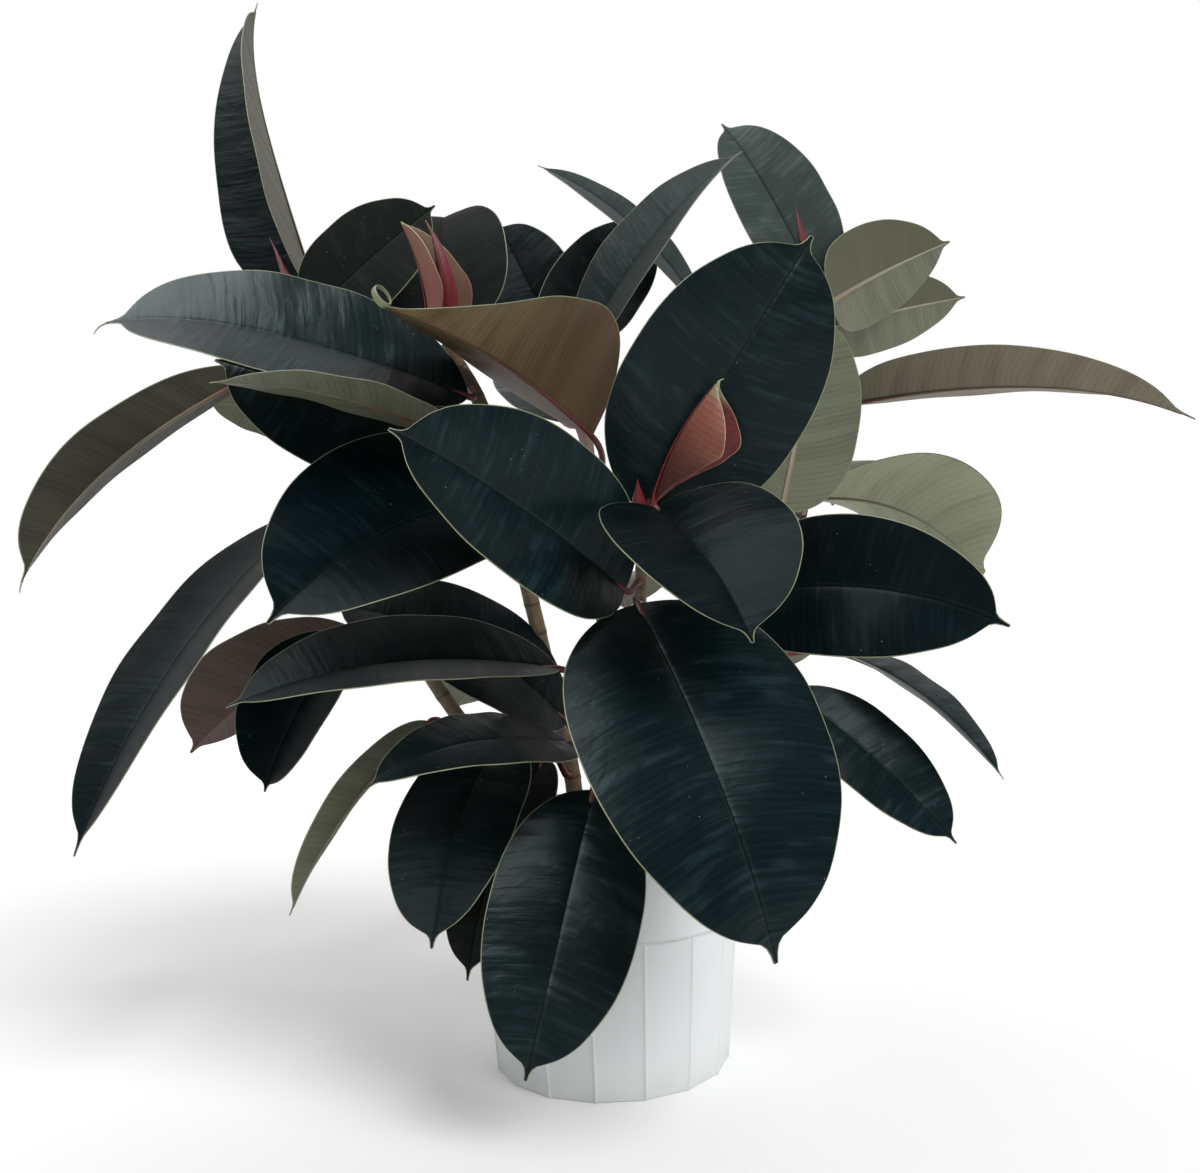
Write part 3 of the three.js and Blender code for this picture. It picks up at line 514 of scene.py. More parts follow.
# Leaves
def leaf_frame(leaf, t):
    """Middle, direction, normal and side of a blade at shares t of its length."""
    t = np.asarray(t, float)[:, None]
    base = np.array(leaf.base, float)
    chord = np.array(leaf.tip, float) - base
    ahead = unit(chord)
    up = square(np.array(leaf.face, float), ahead)
    side = np.cross(ahead, up)
    droop = leaf.droop / DROOP_PEAK
    bend = leaf.bow * 4 * t * (1 - t) + droop * (t - t ** 5)
    slope = leaf.bow * 4 * (1 - 2 * t) + droop * (1 - 5 * t ** 4)
    centre = base + chord * t + up * bend + side * leaf.sway * 4 * t * (1 - t)
    along = unit(chord + up * slope + side * leaf.sway * 4 * (1 - 2 * t))
    angle = math.radians(leaf.twist) * t
    normal = square(up * np.cos(angle) + side * np.sin(angle), along)
    return centre, along, normal, np.cross(along, normal)


def chord_length(leaf):
    return math.dist(leaf.tip, leaf.base)


def section(run, fold, cup, reach):
    """Out and up of a blade's half at distances run from the midrib, and the slope there."""
    rate = cup / reach
    end = fold + rate * run
    if abs(rate) < 1e-6:
        return run * np.cos(fold), run * np.sin(fold), end
    return (np.sin(end) - np.sin(fold)) / rate, (np.cos(fold) - np.cos(end)) / rate, end


def half_runs(half):
    """Distances of the section's points from the midrib, close together at midrib and margin."""
    near = min(1.0, half / 14)
    margin = min(MARGIN_WIDTH, 0.3 * half)
    inner = [0, 0.7 * near, 1.6 * near, 3 * near]
    rest = np.linspace(inner[-1], half - margin, CELLS_PER_HALF - len(inner) + 1)[1:]
    return np.concatenate([inner, rest, [half]])


def blade_slots():
    """Material slots of a section's faces, from the left margin over the top and back below."""
    cells = CELLS_PER_HALF
    slots = np.full(4 * cells + 4, ABOVE)
    slots[2 * cells + 3:4 * cells + 1] = BELOW
    slots[[0, 2 * cells - 1, 2 * cells, 2 * cells + 1, 2 * cells + 2]] = MARGIN
    slots[4 * cells + 1:] = MARGIN
    return slots


def blade_mesh(leaf, seed):
    """Points, faces, slots and surface coordinates of a blade with slightly wavy halves."""
    rng = random.Random(seed)
    reach = leaf.width / 2
    length = chord_length(leaf)
    outline = spline([(t * length, w * reach) for t, w in OUTLINES[leaf.outline]], STATIONS)
    t = outline[:, 0] / length
    slim = 1 - leaf.taper * (t - TAPER_MIDDLE)
    halves = np.maximum(outline[:, 1] * slim, np.where(t < 0.5, 1.6, 0.45))
    centre, along, normal, side = leaf_frame(leaf, t)
    waves = [(rng.uniform(2.2, 4.2), rng.uniform(0, math.tau), rng.uniform(0.35, 0.8)) for k in range(2)]
    points, uvs = [], []
    for i in range(STATIONS):
        fold = math.radians(leaf.fold - leaf.open * t[i])
        runs = half_runs(halves[i])
        out, rise, slope = section(runs, fold, math.radians(leaf.cup), reach)
        groove = -GROOVE_DEPTH * np.exp(-(runs / GROOVE_WIDTH) ** 2) * smoothstep(0.99, 0.9, t[i])
        thick = BLADE_THICKNESS + (RIM_THICKNESS - BLADE_THICKNESS) * smoothstep(0.6, 1, runs / halves[i])
        thick = thick * (1 - 0.3 * smoothstep(0.9, 1, t[i]))
        upper, lower, rim = [], [], []
        for sign, (rate, phase, size) in zip((-1, 1), waves):
            wave = size * (runs / reach) ** 2 * math.sin(math.tau * rate * t[i] + phase)
            facing = normal[i] * np.cos(slope)[:, None] - side[i] * (sign * np.sin(slope))[:, None]
            middle = centre[i] + side[i] * (sign * out)[:, None] + normal[i] * (rise + wave)[:, None]
            upper.append(middle + facing * (thick / 2 + groove)[:, None])
            lower.append(middle - facing * (thick / 2)[:, None])
            rim.append((upper[-1][-1] + lower[-1][-1]) / 2 + side[i] * sign * RIM_BULGE)
        points += [upper[0][::-1], upper[1][1:], [rim[1]], lower[1][::-1], lower[0][1:], [rim[0]]]
        signed = np.concatenate([-runs[::-1], runs[1:], [runs[-1]], runs[::-1], -runs[1:], [-runs[-1]]])
        uvs.append(np.column_stack([signed, np.full(len(signed), t[i] * length)]))
    ends, along, normal, side = leaf_frame(leaf, [0, 1])
    points = np.vstack(points + [ends[0] - along[0] * 0.4, ends[1] + along[1] * 0.6])
    around = len(signed)
    slots = np.concatenate([np.tile(blade_slots(), STATIONS - 1), np.full(2 * around, MARGIN)])
    return points, skin_faces(STATIONS, around), slots, np.vstack(uvs + [[0, 0], [0, length]])


def bezier(p0, p1, p2, p3, t):
    t = t[:, None]
    return (1 - t) ** 3 * p0 + 3 * (1 - t) ** 2 * t * p1 + 3 * (1 - t) * t ** 2 * p2 + t ** 3 * p3


def petiole(leaf):
    """Line of a petiole from inside the stem to the blade, with its sideways directions and radii."""
    joint, upward, stem_radius = stem_place(leaf.stem, leaf.at)
    centre, along, normal, side = leaf_frame(leaf, [0])
    end = centre[0]
    outward = square(end - joint, upward)
    start = joint + outward * (stem_radius + 0.3)
    reach = np.linalg.norm(end - start)
    t = np.linspace(0, 1, RIB_STEPS)
    curve = bezier(start, start + outward * 0.4 * reach, end - along[0] * 0.35 * reach, end, t)
    curve = np.vstack([joint + outward * (stem_radius - 1.2), curve])
    heel = PETIOLE_RADIUS + (PETIOLE_HEEL - PETIOLE_RADIUS) * smoothstep(0.4, 0, t)
    alongs = directions(curve)
    across = np.zeros_like(curve)
    across[-1] = side[0]
    for i in range(len(curve) - 2, -1, -1):
        across[i] = square(across[i + 1], alongs[i])
    return curve, across, np.cross(across, alongs), np.concatenate([[PETIOLE_HEEL], heel])


def rib_mesh(leaf):
    """Petiole from the stem to the blade and the midrib below it, as one tapering stalk."""
    curve, across, above, radius = petiole(leaf)
    t = np.linspace(0.008, 0.965, MIDRIB_STEPS)
    centre, along, normal, side = leaf_frame(leaf, t)
    width = (PETIOLE_RADIUS - 0.25) * (1 - 0.8 * t)
    top = (PETIOLE_RADIUS - 0.1) * smoothstep(0.07, 0, t) - 0.3
    bottom = BLADE_THICKNESS / 2 + (RIB_DEPTH - 0.45) * (1 - 0.85 * t)

    line = np.vstack([curve, centre])
    across, above = np.vstack([across, side]), np.vstack([above, normal])
    widths, tops, bottoms = (np.concatenate([radius, size])[:, None] for size in (width, top, bottom))
    heights = np.where(np.sin(turns(RIB_SIDES)) > 0, tops, bottoms)
    ends = [line[0], line[-1] + along[-1] * 2]
    run = distances(line)
    points, faces, uvs = tube_mesh(line, across, above, widths, heights, ends, run - run[len(curve) - 1])
    return points, faces, np.full(len(faces), RIB), uvs


def tail_mesh(leaf):
    """Flat tapering tail that curls on from the tip of a blade."""
    length, turn, towards, half = leaf.tail
    centre, along, normal, side = leaf_frame(leaf, [1])
    bend = square(np.array(towards, float), along[0])
    share = np.linspace(0, 1, TAIL_STEPS)[:, None]
    angle = math.radians(turn) * share
    ways = along[0] * np.cos(angle) + bend * np.sin(angle)
    steps = ways[:-1] * (length / (TAIL_STEPS - 1))
    middles = centre[0] - along[0] * 1.5 + np.vstack([np.zeros(3), np.cumsum(steps, axis=0)])
    flat = np.cross(along[0], bend)
    above = np.cross(flat, ways)
    widths = half * (1 - 0.8 * share) + 0.15
    heights = np.tile(0.5 - 0.25 * share, TAIL_SIDES)
    ends = [middles[0], middles[-1] + ways[-1] * 0.4]
    run = chord_length(leaf) + share[:, 0] * length
    points, faces, uvs = tube_mesh(middles, flat[None, :], above, widths, heights, ends, run)
    uvs[:, 0] = 0
    return points, faces, np.full(len(faces), MARGIN), uvs


def build_leaf(leaf, seed, materials):
    """One piece of blade, petiole with midrib and, on some leaves, a curled tail."""
    meshes = [blade_mesh(leaf, seed), rib_mesh(leaf)]
    if leaf.tail:
        meshes.append(tail_mesh(leaf))
    faces, first = [], 0
    for points, own_faces, slots, uvs in meshes:
        faces += [tuple(k + first for k in face) for face in own_faces]
        first += len(points)
    points, slots, uvs = (np.concatenate([mesh[k] for mesh in meshes]) for k in (0, 2, 3))
    thing = make_object(f"{leaf.name}_blade", points, faces, materials, slots, uvs)
    dress(thing, leaf.name)


def whole_leaf(row):
    """A leaf from its row, with the columns named and the defaults filled in."""
    return SimpleNamespace(**{**LEAF_DEFAULTS, **dict(zip(LEAF_COLUMNS, row)), **row[-1]})


# Pot
def pot_ring(radius, height, flat):
    """Ring of the pot's wall: flat 1 has the facets with a fine bead on each edge, flat 0 is round."""
    half = [0.17, 0.33, 0.42, 0.46, 0.48, 0.493]
    share = np.array([-0.5] + [-place for place in half[::-1]] + [0] + half)
    step = math.tau / POT_FACETS
    facet = math.cos(step / 2) / np.cos(share * step)
    from_edge = (0.5 - np.abs(share)) * 2 * radius * math.sin(step / 2)
    bead = POT_BEAD * np.exp(-(from_edge / POT_BEAD_WIDTH) ** 2)
    across = radius * (flat * facet + (1 - flat)) + flat * (bead - POT_BEAD)
    rows = []
    for k in range(POT_FACETS):
        angle = POT_FACET_TURN + (k + 0.5 + share) * step
        rows.append(np.column_stack([across * np.cos(angle), across * np.sin(angle), across * 0 + height]))
    return np.vstack(rows)


def pot_profile():
    """Radius, height and flatness of the pot's rings, from the middle of the foot to the floor inside."""
    foot, waist, recess = POT_FOOT_RADIUS, POT_SEAM_RADIUS, FOOT_RECESS_DEPTH
    seam, top = POT_SEAM_HEIGHT, POT_RIM_HEIGHT
    lip_foot = top - LIP_HEIGHT
    neck = waist + POT_RISE * (lip_foot - seam)
    lip = POT_RIM_RADIUS + LIP_PROUD
    inside = POT_RIM_RADIUS - POT_WALL
    rings = [
        (FOOT_BOSS_RADIUS - 0.6, 0, 0), (FOOT_BOSS_RADIUS, 0.3, 0),
        (FOOT_BOSS_RADIUS + 1, recess, 0), (FLOOR_RING_RADIUS, recess, 0),
        (FOOT_RECESS_RADIUS - 1, recess, 0),
        (FOOT_RECESS_RADIUS, 0.3, 0), (FOOT_RECESS_RADIUS + 0.6, 0, 0),
        (foot - 1.5, 0, 1), (foot - 0.5, 0.4, 1), (foot, 1.5, 1),
    ]
    for share in np.linspace(0.1, 1, 10):
        height = 1.5 + share * (seam - 2.7)
        rings.append((foot + (waist - foot) * share, height, 1))
    rings.append((waist - 0.1, seam - 0.9, 0.35))
    rings.append((waist, seam - 0.5, 0))
    for share in np.linspace(0.02, 1, 8):
        height = seam + share * (lip_foot - seam)
        rings.append((waist + POT_RISE * (height - seam), height, 0))
    rings += [
        (neck + 0.3, lip_foot + 0.4, 0), (neck + LIP_PROUD - 0.4, lip_foot + 0.8, 0),
        (neck + LIP_PROUD, lip_foot + 1.4, 0), (lip, top - 1.6, 0),
        (lip - 0.4, top - 0.5, 0), (lip - 1.3, top, 0),
        (inside + 1.2, top, 0), (inside + 0.3, top - 0.5, 0),
        (inside, top - 1.4, 0), (inside - 1.5, SOIL_TOP + 4, 0),
        (INSIDE_SEAM_RADIUS, seam, 1), (INSIDE_FOOT_RADIUS, POT_FLOOR, 1),
        (FLOOR_RING_RADIUS, POT_FLOOR, 0), (FOOT_BOSS_RADIUS, POT_FLOOR, 0),
    ]
    return rings


def build_pot(material):
    """The moulded shell, whose walls face inwards and whose two middle caps face outwards."""
    rings = [pot_ring(*row) for row in pot_profile()]
    count = len(rings[0])
    points = np.vstack(rings + [[0, 0, 0], [0, 0, POT_FLOOR]])
    faces = skin_faces(len(rings), count)
    faces = [face[::-1] for face in faces[:-2 * count]] + faces[-2 * count:]
    thing = make_object("pot_shell", points, faces, [material])
    cut_drains(thing)
    mark_sharp(thing)
    dress(thing, "pot")


def cut_drains(pot):
    """Cuts the drain holes through the pot's floor."""
    tool = bmesh.new()
    radius = DRAIN_RADIUS * MM
    for angle in turns(DRAIN_COUNT):
        made = bmesh.ops.create_cone(tool, cap_ends=True, segments=32, radius1=radius, radius2=radius,
                                     depth=4 * POT_FLOOR * MM)
        place = Vector((math.cos(angle), math.sin(angle), 0)) * DRAIN_RING_RADIUS
        bmesh.ops.translate(tool, verts=made["verts"], vec=(place + Vector((0, 0, POT_FLOOR / 2))) * MM)
    mesh = bpy.data.meshes.new("drain_tool")
    tool.to_mesh(mesh)
    tool.free()
    cutter = add_object("drain_tool", mesh)
    modifier = pot.modifiers.new("drains", "BOOLEAN")
    modifier.operation = "DIFFERENCE"
    modifier.solver = "EXACT"
    modifier.object = cutter
    graph = bpy.context.evaluated_depsgraph_get()
    cut = bpy.data.meshes.new_from_object(pot.evaluated_get(graph))
    pot.modifiers.clear()
    pot.data = cut
    bpy.data.objects.remove(cutter)


def mark_sharp(thing):
    """Keeps the steep edges crisp and shades the rest smooth."""
    shape = bmesh.new()
    shape.from_mesh(thing.data)
    for edge in shape.edges:
        edge.smooth = not (edge.is_manifold and edge.calc_face_angle(0) > CRISP_ANGLE)
    for face in shape.faces:
        face.smooth = True
    shape.to_mesh(thing.data)
    shape.free()


# Soil
def soil_height(x, y, from_edge):
    """Height of the soil's top: low waves with crumbs on them, sinking towards the pot's wall."""
    wave = SOIL_RELIEF * math.sin(x * 0.083 + 1) * math.cos(y * 0.071 + 2)
    crumbs = noise.fractal(Vector((x * 0.11, y * 0.11, 3.1)), 1.0, 2.0, 4)
    return SOIL_TOP - 1 + wave + 1.6 * crumbs - SOIL_EDGE_DROP * math.exp(-from_edge)


def build_soil(material):
    """The root ball, from the pot's floor up to the rough top of the soil. Gives the top's radius."""
    edge = INSIDE_SEAM_RADIUS + INSIDE_RISE * (SOIL_TOP - POT_SEAM_HEIGHT) - SOIL_GAP
    angle = turns(SOIL_SIDES)
    circle = np.column_stack([np.cos(angle), np.sin(angle)])
    foot = POT_FLOOR + 0.3
    rings = []
    for radius, height in ((INSIDE_FOOT_RADIUS - 2.4, foot), (INSIDE_SEAM_RADIUS - 2.4, POT_SEAM_HEIGHT)):
        rings.append(np.column_stack([circle * radius, np.full(SOIL_SIDES, height)]))
    for k in range(SOIL_RINGS):
        radius = edge * (1 - k / (SOIL_RINGS - 0.5))
        rings.append(np.array([(x, y, soil_height(x, y, k / 3)) for x, y in circle * radius]))
    points = np.vstack(rings + [[0, 0, foot], [0, 0, soil_height(0, 0, math.inf)]])
    thing = make_object("soil_bed", points, skin_faces(len(rings), SOIL_SIDES), [material])
    dress(thing, "soil")
    return edge


def build_crumbs(edge, materials):
    """Loose crumbs and chips on the soil, most of them dark and a few pale."""
    rng = random.Random(11)
    shape = bmesh.new()
    for k in range(CRUMB_COUNT):
        pale = rng.random() < PALE_SHARE
        size = rng.uniform(0.9, 1.7) if pale else rng.uniform(1.0, 3.4)
        radius = edge * math.sqrt(rng.random()) * 0.98
        turn = rng.uniform(0, math.tau)
        x, y = radius * math.cos(turn), radius * math.sin(turn)
        made = bmesh.ops.create_icosphere(shape, subdivisions=1, radius=1)
        stretch = Vector((rng.uniform(0.7, 1.5), rng.uniform(0.6, 1), rng.uniform(0.35, 0.8))) * size
        turned = Matrix.Rotation(rng.uniform(0, math.tau), 3, "Z")
        turned = turned @ Matrix.Rotation(rng.uniform(-0.5, 0.5), 3, "X")
        height = soil_height(x, y, (1 - radius / edge) * 15) + 0.25 * size
        for vert in made["verts"]:
            rough = 1 + 0.35 * noise.noise(vert.co * 2 + Vector((k, 0, 0)))
            spot = turned @ Vector(a * b for a, b in zip(vert.co * rough, stretch))
            vert.co = (spot + Vector((x, y, height))) * MM
        for face in {f for vert in made["verts"] for f in vert.link_faces}:
            face.material_index = 1 if pale else 0
    mesh = bpy.data.meshes.new("soil_crumbs")
    shape.to_mesh(mesh)
    shape.free()
    for material in materials:
        mesh.materials.append(material)
    thing = add_object("soil_crumbs", mesh)
    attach(thing, BODY)


# Shader graphs: wires are numbers or colours that flow between nodes, joined by plain operators
def paint(red, green, blue):
    """A display colour from 0 to 255 as the linear colour that a shader takes."""
    def linear(value):
        share = value / 255
        return share / 12.92 if share <= 0.04045 else ((share + 0.055) / 1.055) ** 2.4
    return (linear(red), linear(green), linear(blue), 1)


def math_node(operation):
    """A plain operator as a Math node between wires and numbers."""
    def operator(wire, *others):
        return wire.graph.math(operation, wire, *others)
    return operator


class Wire:
    def __init__(self, graph, socket):
        self.graph = graph
        self.socket = socket

    __add__ = math_node("ADD")
    __sub__ = math_node("SUBTRACT")
    __mul__ = math_node("MULTIPLY")
    __pow__ = math_node("POWER")
    __abs__ = math_node("ABSOLUTE")


class Graph:
    """The node tree of a material or of the world."""
    def __init__(self, owner):
        owner.use_nodes = True
        self.tree = owner.node_tree

    def feed(self, socket, value):
        """Joins a wire to a socket, or sets the socket to a number or a colour."""
        if isinstance(value, Wire):
            self.tree.links.new(value.socket, socket)
        elif isinstance(value, tuple) and len(value) == 3:
            socket.default_value = paint(*value)
        else:
            socket.default_value = value

    def node(self, kind, inputs, output=0, **settings):
        node = self.tree.nodes.new(f"ShaderNode{kind}")
        for name, value in settings.items():
            setattr(node, name, value)
        for name, value in inputs.items():
            self.feed(node.inputs[name], value)
        return Wire(self, node.outputs[output])

    def math(self, operation, *values):
        return self.node("Math", dict(enumerate(values)), operation=operation)

    def cosine(self, phase):
        """Even waves between 0 and 1, one for each whole number of the phase."""
        return self.math("COSINE", phase * math.tau) * 0.5 + 0.5

    def ease(self, value, low, high):
        """Rises smoothly from 0 at low to 1 at high."""
        ends = {"Value": value, "From Min": low, "From Max": high}
        return self.node("MapRange", ends, interpolation_type="SMOOTHSTEP")

    def mix(self, share, first, second):
        return self.node("Mix", {0: share, 6: first, 7: second}, output=2, data_type="RGBA")

    def noise(self, place, scale, detail=2.0, roughness=0.5):
        grain = {"Vector": place, "Scale": scale, "Detail": detail, "Roughness": roughness}
        return self.node("TexNoise", grain)

    def grain(self, x, y, z=0.0, detail=2.0, roughness=0.5):
        """Noise over surface coordinates that are scaled one by one, where z tells noises apart."""
        return self.noise(self.node("CombineXYZ", {0: x, 1: y, 2: z}), 1.0, detail, roughness)

    def cells(self, place, scale):
        return self.node("TexVoronoi", {"Vector": place, "Scale": scale})

    def split(self, vector, axis):
        return self.node("SeparateXYZ", {0: vector}, output=axis)

    def body_place(self):
        """Place in the object's own frame, in metres."""
        return self.node("TexCoord", {}, output=3)

    def surface_place(self):
        """Signed distance across and distance along a surface, in millimetres."""
        uv = self.node("UVMap", {}, uv_map="Surface")
        return self.split(uv, 0) * SURFACE_UNIT, self.split(uv, 1) * SURFACE_UNIT

    def surface(self, colour, rough, height):
        """A shader's wired sockets, with the height of the bump in millimetres."""
        bump = self.node("Bump", {"Height": height, "Distance": MM})
        return {"Base Color": colour, "Roughness": rough, "Normal": bump}


def new_material(name, look, *tones, **sockets):
    """A material whose plain sockets are given here and whose wired ones come from its look."""
    material = bpy.data.materials.new(name)
    graph = Graph(material)
    surface = graph.tree.nodes["Principled BSDF"]
    for socket, value in {**sockets, **look(graph, *tones)}.items():
        graph.feed(surface.inputs[socket.replace("_", " ")], value)
    return material


def vein_phase(graph, across, along, slant):
    """Counts the lateral veins: whole numbers lie on a vein, which leans forward towards the margin."""
    reach = abs(across)
    lean = reach * (reach * VEIN_CURVE + slant)
    drift = graph.grain(across * 0.02, along * 0.02)
    return (along - lean) * (1 / VEIN_SPACING) + drift * 1.4


def upper_look(graph, dark, lit, vein, gloss, ior):
    """Upper side: near-black green, satin wax over fine ripples of the lateral veins, pale sheen painted
    on the ripples, specks of dust.
    """
    across, along = graph.surface_place()
    phase = vein_phase(graph, across, along, UPPER_LEAN)
    veins = graph.cosine(phase)
    patches = graph.grain(across * 0.03, phase * 0.22, 0.0, 3.0)
    streaks = graph.grain(across * 0.011, phase * 0.8, 5.1, 4.0, 0.6)
    bands = graph.grain(across * 0.007, phase * 0.26, 1.7)
    swell = graph.grain(across * 0.016, phase * 0.16, 7.3, 1.0)
    groove = graph.ease(abs(across), GROOVE_WIDTH, 0.5)
    middle = graph.ease(abs(across), 3.0, 1.4) - groove
    rippled = graph.ease(patches, 0.42, 0.68)
    height = veins * (rippled * 0.05 + 0.01) + streaks * (rippled * 0.5 + 0.27)
    height = height + bands * 1.1 + swell * 1.5
    colour = graph.mix(patches * 0.8, dark, lit)
    # painted sheen: the pale third colour of the look is mixed in where the streaks and veins ripple
    fine = graph.ease(streaks, 0.42, 0.7)
    colour = graph.mix(fine * rippled * 0.55 + veins ** 8.0 * streaks * 0.2, colour, vein)
    # painted highlight along the edges of the midrib groove, then painted shade in the groove itself
    colour = graph.mix(middle * 0.14, colour, (42, 54, 48))
    colour = graph.mix(groove * 0.6, colour, (2, 8, 9))
    dust = graph.ease(graph.cells(graph.body_place(), 210.0), 0.075, 0.04)
    rare = graph.ease(graph.noise(graph.body_place(), 33.0, 1.0), 0.6, 0.66)
    colour = graph.mix(dust * rare * 0.5, colour, (190, 195, 190))
    return {**graph.surface(colour, streaks * 0.14 + patches * 0.1 + gloss, height), "IOR": ior}


def under_look(graph, tone, vein, far=None, shaded_half=None):
    """Underside: matt olive or brown with fine darker lateral veins, another tone at the far end, and on
    some a darker half beyond the midrib, which is painted shade."""
    across, along = graph.surface_place()
    phase = vein_phase(graph, across, along, UNDER_LEAN)
    veins = graph.cosine(phase) ** 5.0
    patches = graph.grain(across * 0.05, phase * 0.3, 2.0, 3.0)
    fine = graph.noise(graph.body_place(), 420.0, 3.0)
    streaks = graph.grain(across * 0.03, phase * 0.8, 4.4, 4.0, 0.6)
    bands = graph.grain(across * 0.008, phase * 0.3, 6.2)
    here = tone
    if far:
        here = graph.mix(graph.ease(along, 30.0, 175.0), tone, far)
    if shaded_half:
        # painted shade: the half beyond the midrib takes the darker fourth tone of the look
        here = graph.mix(graph.ease(across, -1.5, 1.5), tone, shaded_half)
    dark = veins * patches * 0.42 + streaks * 0.4 + graph.ease(bands, 0.4, 0.65) * 0.3
    colour = graph.mix(fine * 0.22, graph.mix(dark, here, vein), vein)
    return graph.surface(colour, fine * 0.2 + 0.42, veins * patches * 0.07 + streaks * 0.5 + fine * 0.05)


def margin_look(graph):
    across, along = graph.surface_place()
    patches = graph.grain(across * 0.1, along * 0.1)
    return {"Base Color": graph.mix(patches, (92, 98, 74), (132, 136, 106))}


def rib_look(graph, stalk, far):
    """Stalk colour at the petiole that fades along the midrib."""
    across, along = graph.surface_place()
    grain = graph.grain(across * 3.0, along * 0.06, 0.0, 3.0)
    colour = graph.mix(graph.ease(along, 0.0, 90.0), stalk, far)
    colour = graph.mix(grain * 0.35, colour, (60, 40, 32))
    return graph.surface(colour, grain * 0.2 + 0.35, grain * 0.12)


def stem_look(graph):
    """Grey-brown bark with pale pores and dark leaf scars, greener and then burgundy towards the top."""
    across, along = graph.surface_place()
    spot = graph.body_place()
    bark = graph.noise(spot, 130.0, 4.0, 0.6)
    streak = graph.grain(across * 60.0, along * 0.05, 0.0, 3.0)
    colour = graph.mix(bark, (70, 58, 44), (138, 122, 96))
    colour = graph.mix(graph.ease(along, 190.0, 420.0), colour, (88, 74, 52))
    colour = graph.mix(graph.ease(along, 380.0, 540.0), colour, (68, 20, 27))
    scars = graph.cosine((along - SCAR_START) * (1 / SCAR_SPACING)) ** 60.0
    colour = graph.mix(scars * 0.7, colour, (48, 36, 28))
    pores = graph.ease(graph.cells(spot, 330.0), 0.22, 0.1)
    colour = graph.mix(pores * 0.5, colour, (178, 160, 128))
    return graph.surface(colour, bark * 0.2 + 0.55, bark * 0.4 + streak * 0.3)


def pot_look(graph):
    """Thin moulded plastic: cool white, with flow marks, a fine seam and a little dirt near the foot."""
    spot = graph.body_place()
    flow = graph.noise(spot, 22.0, 3.0)
    fine = graph.noise(spot, 520.0, 2.0)
    height = graph.split(spot, 2)
    dirt = graph.ease(height, 0.03, 0.0) * graph.noise(spot, 60.0, 4.0) * 0.35
    colour = graph.mix(flow, (196, 201, 202), (207, 211, 212))
    colour = graph.mix(dirt, colour, (170, 166, 152))
    seam = graph.ease(abs(height - POT_SEAM_HEIGHT * MM), 0.0016, 0.0004)
    colour = graph.mix(seam * 0.3, colour, (168, 174, 175))
    return graph.surface(colour, flow * 0.12 + 0.3, flow * 0.5 + fine * 0.02)


def soil_look(graph):
    lumps = graph.noise(graph.body_place(), 160.0, 5.0, 0.65)
    return graph.surface(graph.mix(lumps, (26, 20, 16), (84, 66, 50)), 0.95, lumps * 1.6)


def perlite_look(graph):
    lumps = graph.noise(graph.body_place(), 900.0, 3.0)
    return graph.surface(graph.mix(lumps, (176, 170, 158), (224, 220, 210)), 0.5, lumps * 0.5)


def sheath_look(graph):
    """Papery crimson with fine lengthwise streaks."""
    across, along = graph.surface_place()
    streak = graph.grain(across * 90.0, along * 0.04, 0.0, 3.0)
    colour = graph.mix(streak, (66, 6, 15), (116, 18, 32))
    return graph.surface(colour, streak * 0.2 + 0.32, streak * 0.2)


def sprout_look(graph, deep, light):
    """Soft waxy skin of a new leaf with lengthwise streaks and a pale tip."""
    across, along = graph.surface_place()
    streak = graph.grain(across * 0.5, along * 0.03, 0.0, 3.0)
    veins = graph.cosine(vein_phase(graph, across, along, UPPER_LEAN)) ** 3.0
    colour = graph.mix(graph.ease(along, 14.0, 80.0) * 0.75 + streak * 0.25, deep, light)
    colour = graph.mix(graph.ease(along, 81.0, 89.0) * 0.8, colour, (142, 146, 108))
    return graph.surface(colour, streak * 0.2 + 0.38, streak * 0.25 + veins * 0.05)


def floor_look(graph):
    grain = graph.noise(graph.body_place(), 4.0, 3.0)
    return {"Base Color": graph.mix(grain, (243, 243, 243), (246, 246, 246))}


# Studio
def build_studio():
    mesh = bpy.data.meshes.new("floor")
    corners = [(x * FLOOR_HALF, y * FLOOR_HALF, 0) for x, y in ((-1, -1), (1, -1), (1, 1), (-1, 1))]
    mesh.from_pydata(corners, [], [(0, 1, 2, 3)])
    mesh.materials.append(new_material("floor_pale", floor_look, Roughness=0.9))
    floor = add_object("floor", mesh)
    for name, (towards, strength, width, part) in LIGHTS.items():
        light = bpy.data.lights.new(name, "SUN")
        light.energy = strength
        light.angle = math.radians(width)
        lamp = add_object(name, light)
        lamp.location = towards
        lamp.visible_glossy = part == "gloss"
        lamp.visible_diffuse = part == "matt"
        lamp.rotation_euler = (-Vector(towards)).to_track_quat("-Z", "Y").to_euler()
    build_world()


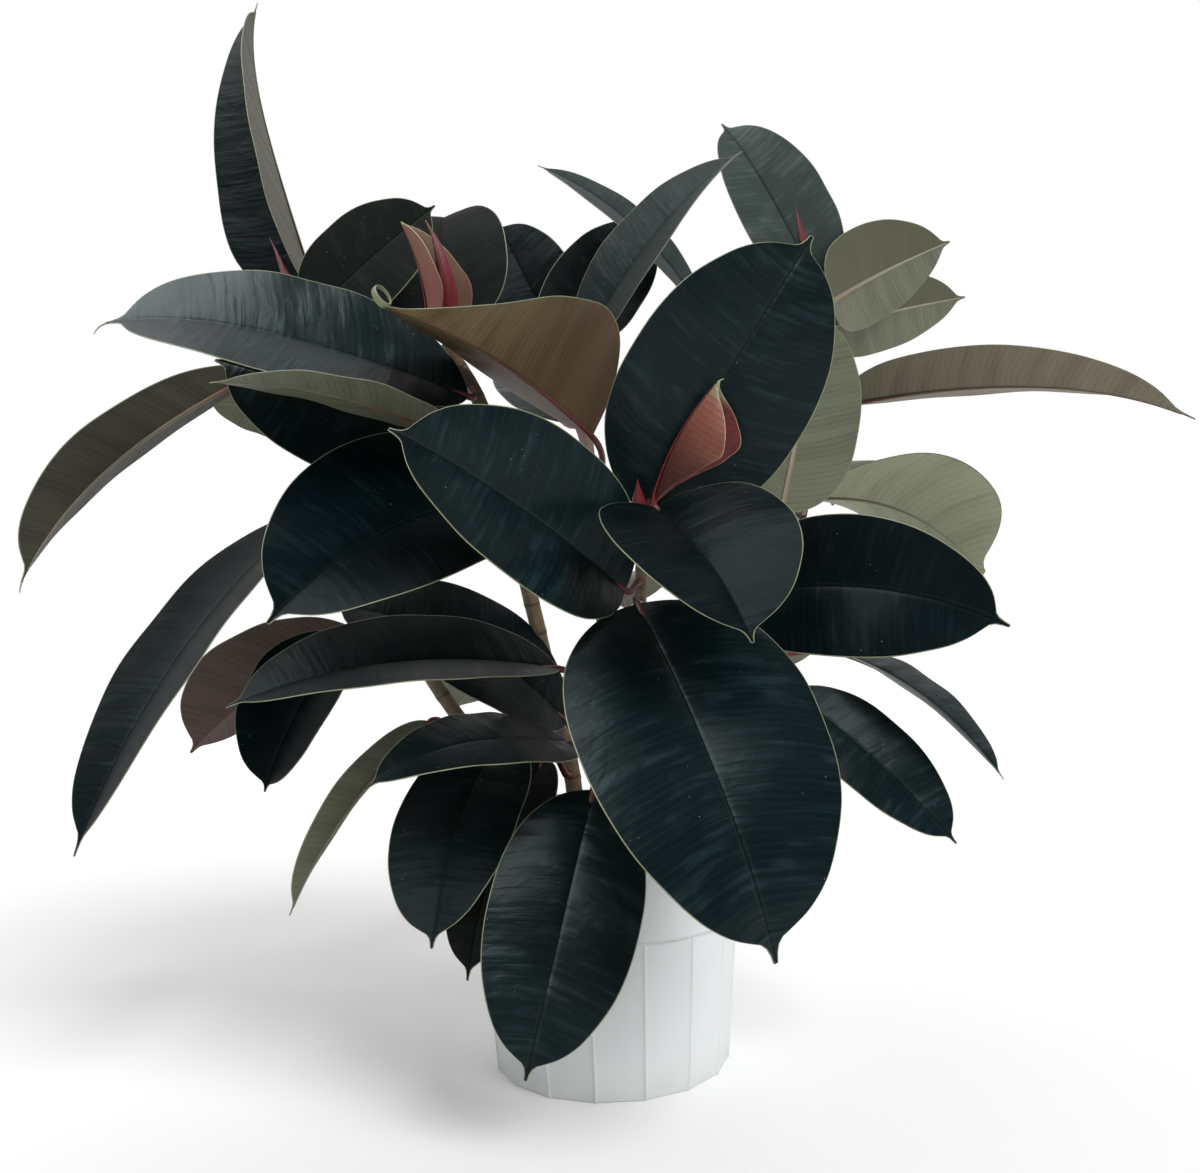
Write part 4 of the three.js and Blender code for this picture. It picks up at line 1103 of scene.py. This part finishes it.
def build_world():
    """Pale room: bright behind the plant and dim on the photographer's side."""
    world = bpy.data.worlds.new("studio")
    bpy.context.scene.world = world
    graph = Graph(world)
    direction = graph.node("TexCoord", {})
    behind = graph.ease(graph.split(direction, 1), -0.35, 0.55)
    room = graph.mix(behind, WORLD_FRONT, WORLD_BACK)
    seen = graph.node("LightPath", {})
    graph.feed(graph.tree.nodes["Background"].inputs["Color"], graph.mix(seen, room, WORLD_SEEN))


def build_camera():
    data = bpy.data.cameras.new("camera")
    data.sensor_width = SENSOR_WIDTH
    data.lens = SENSOR_WIDTH * CAMERA_FOCAL_PIXELS / IMAGE_WIDTH
    data.clip_start = 0.02
    camera = add_object("camera", data)
    tilt = Matrix.Rotation(math.radians(90 + CAMERA_PITCH), 4, "X")
    roll = Matrix.Rotation(math.radians(CAMERA_ROLL), 4, "Z")
    camera.matrix_world = Matrix.Translation(CAMERA_PLACE) @ tilt @ roll
    bpy.context.scene.camera = camera
    bpy.context.scene.view_settings.view_transform = "Standard"


def materials_of(kind, look, rows, **sockets):
    """A material for every row of tones."""
    return {name: new_material(f"{kind}_{name}", look, *tones, **sockets) for name, tones in rows.items()}


# The plant in its pot
build_pot(new_material("pot_plastic", pot_look))
soil_edge = build_soil(new_material("soil_mix", soil_look))
build_crumbs(soil_edge, [new_material("soil_crumb", soil_look), new_material("soil_perlite", perlite_look)])
bark = new_material("stem_bark", stem_look)
for stem in STEMS:
    build_stem(stem, bark)

uppers = materials_of("leaf_upper", upper_look, UPPER_LOOKS, Specular_Tint=LEAF_GLOSS)
unders = materials_of("leaf_under", under_look, UNDER_LOOKS, IOR=UNDER_IOR)
ribs = materials_of("leaf_rib", rib_look, RIB_LOOKS)
margin = new_material("leaf_margin", margin_look)
for number, leaf in enumerate(map(whole_leaf, LEAVES)):
    looks = [uppers[leaf.upper], unders[leaf.under], margin, ribs[leaf.rib]]
    build_leaf(leaf, number, looks)

flesh = materials_of("sprout", sprout_look, FLESH_LOOKS)
new_stalk = new_material("sprout_stalk", rib_look, (128, 22, 34), (96, 18, 26))
for number, leaf in enumerate(map(whole_leaf, SPROUTS)):
    looks = [flesh[leaf.upper], flesh[leaf.under], flesh["margin"], new_stalk]
    build_leaf(leaf, SPROUT_SEED + number, looks)

crimson = new_material("sheath_crimson", sheath_look)
for row in SHEATHS:
    build_sheath(*row, crimson)
build_studio()
build_camera()
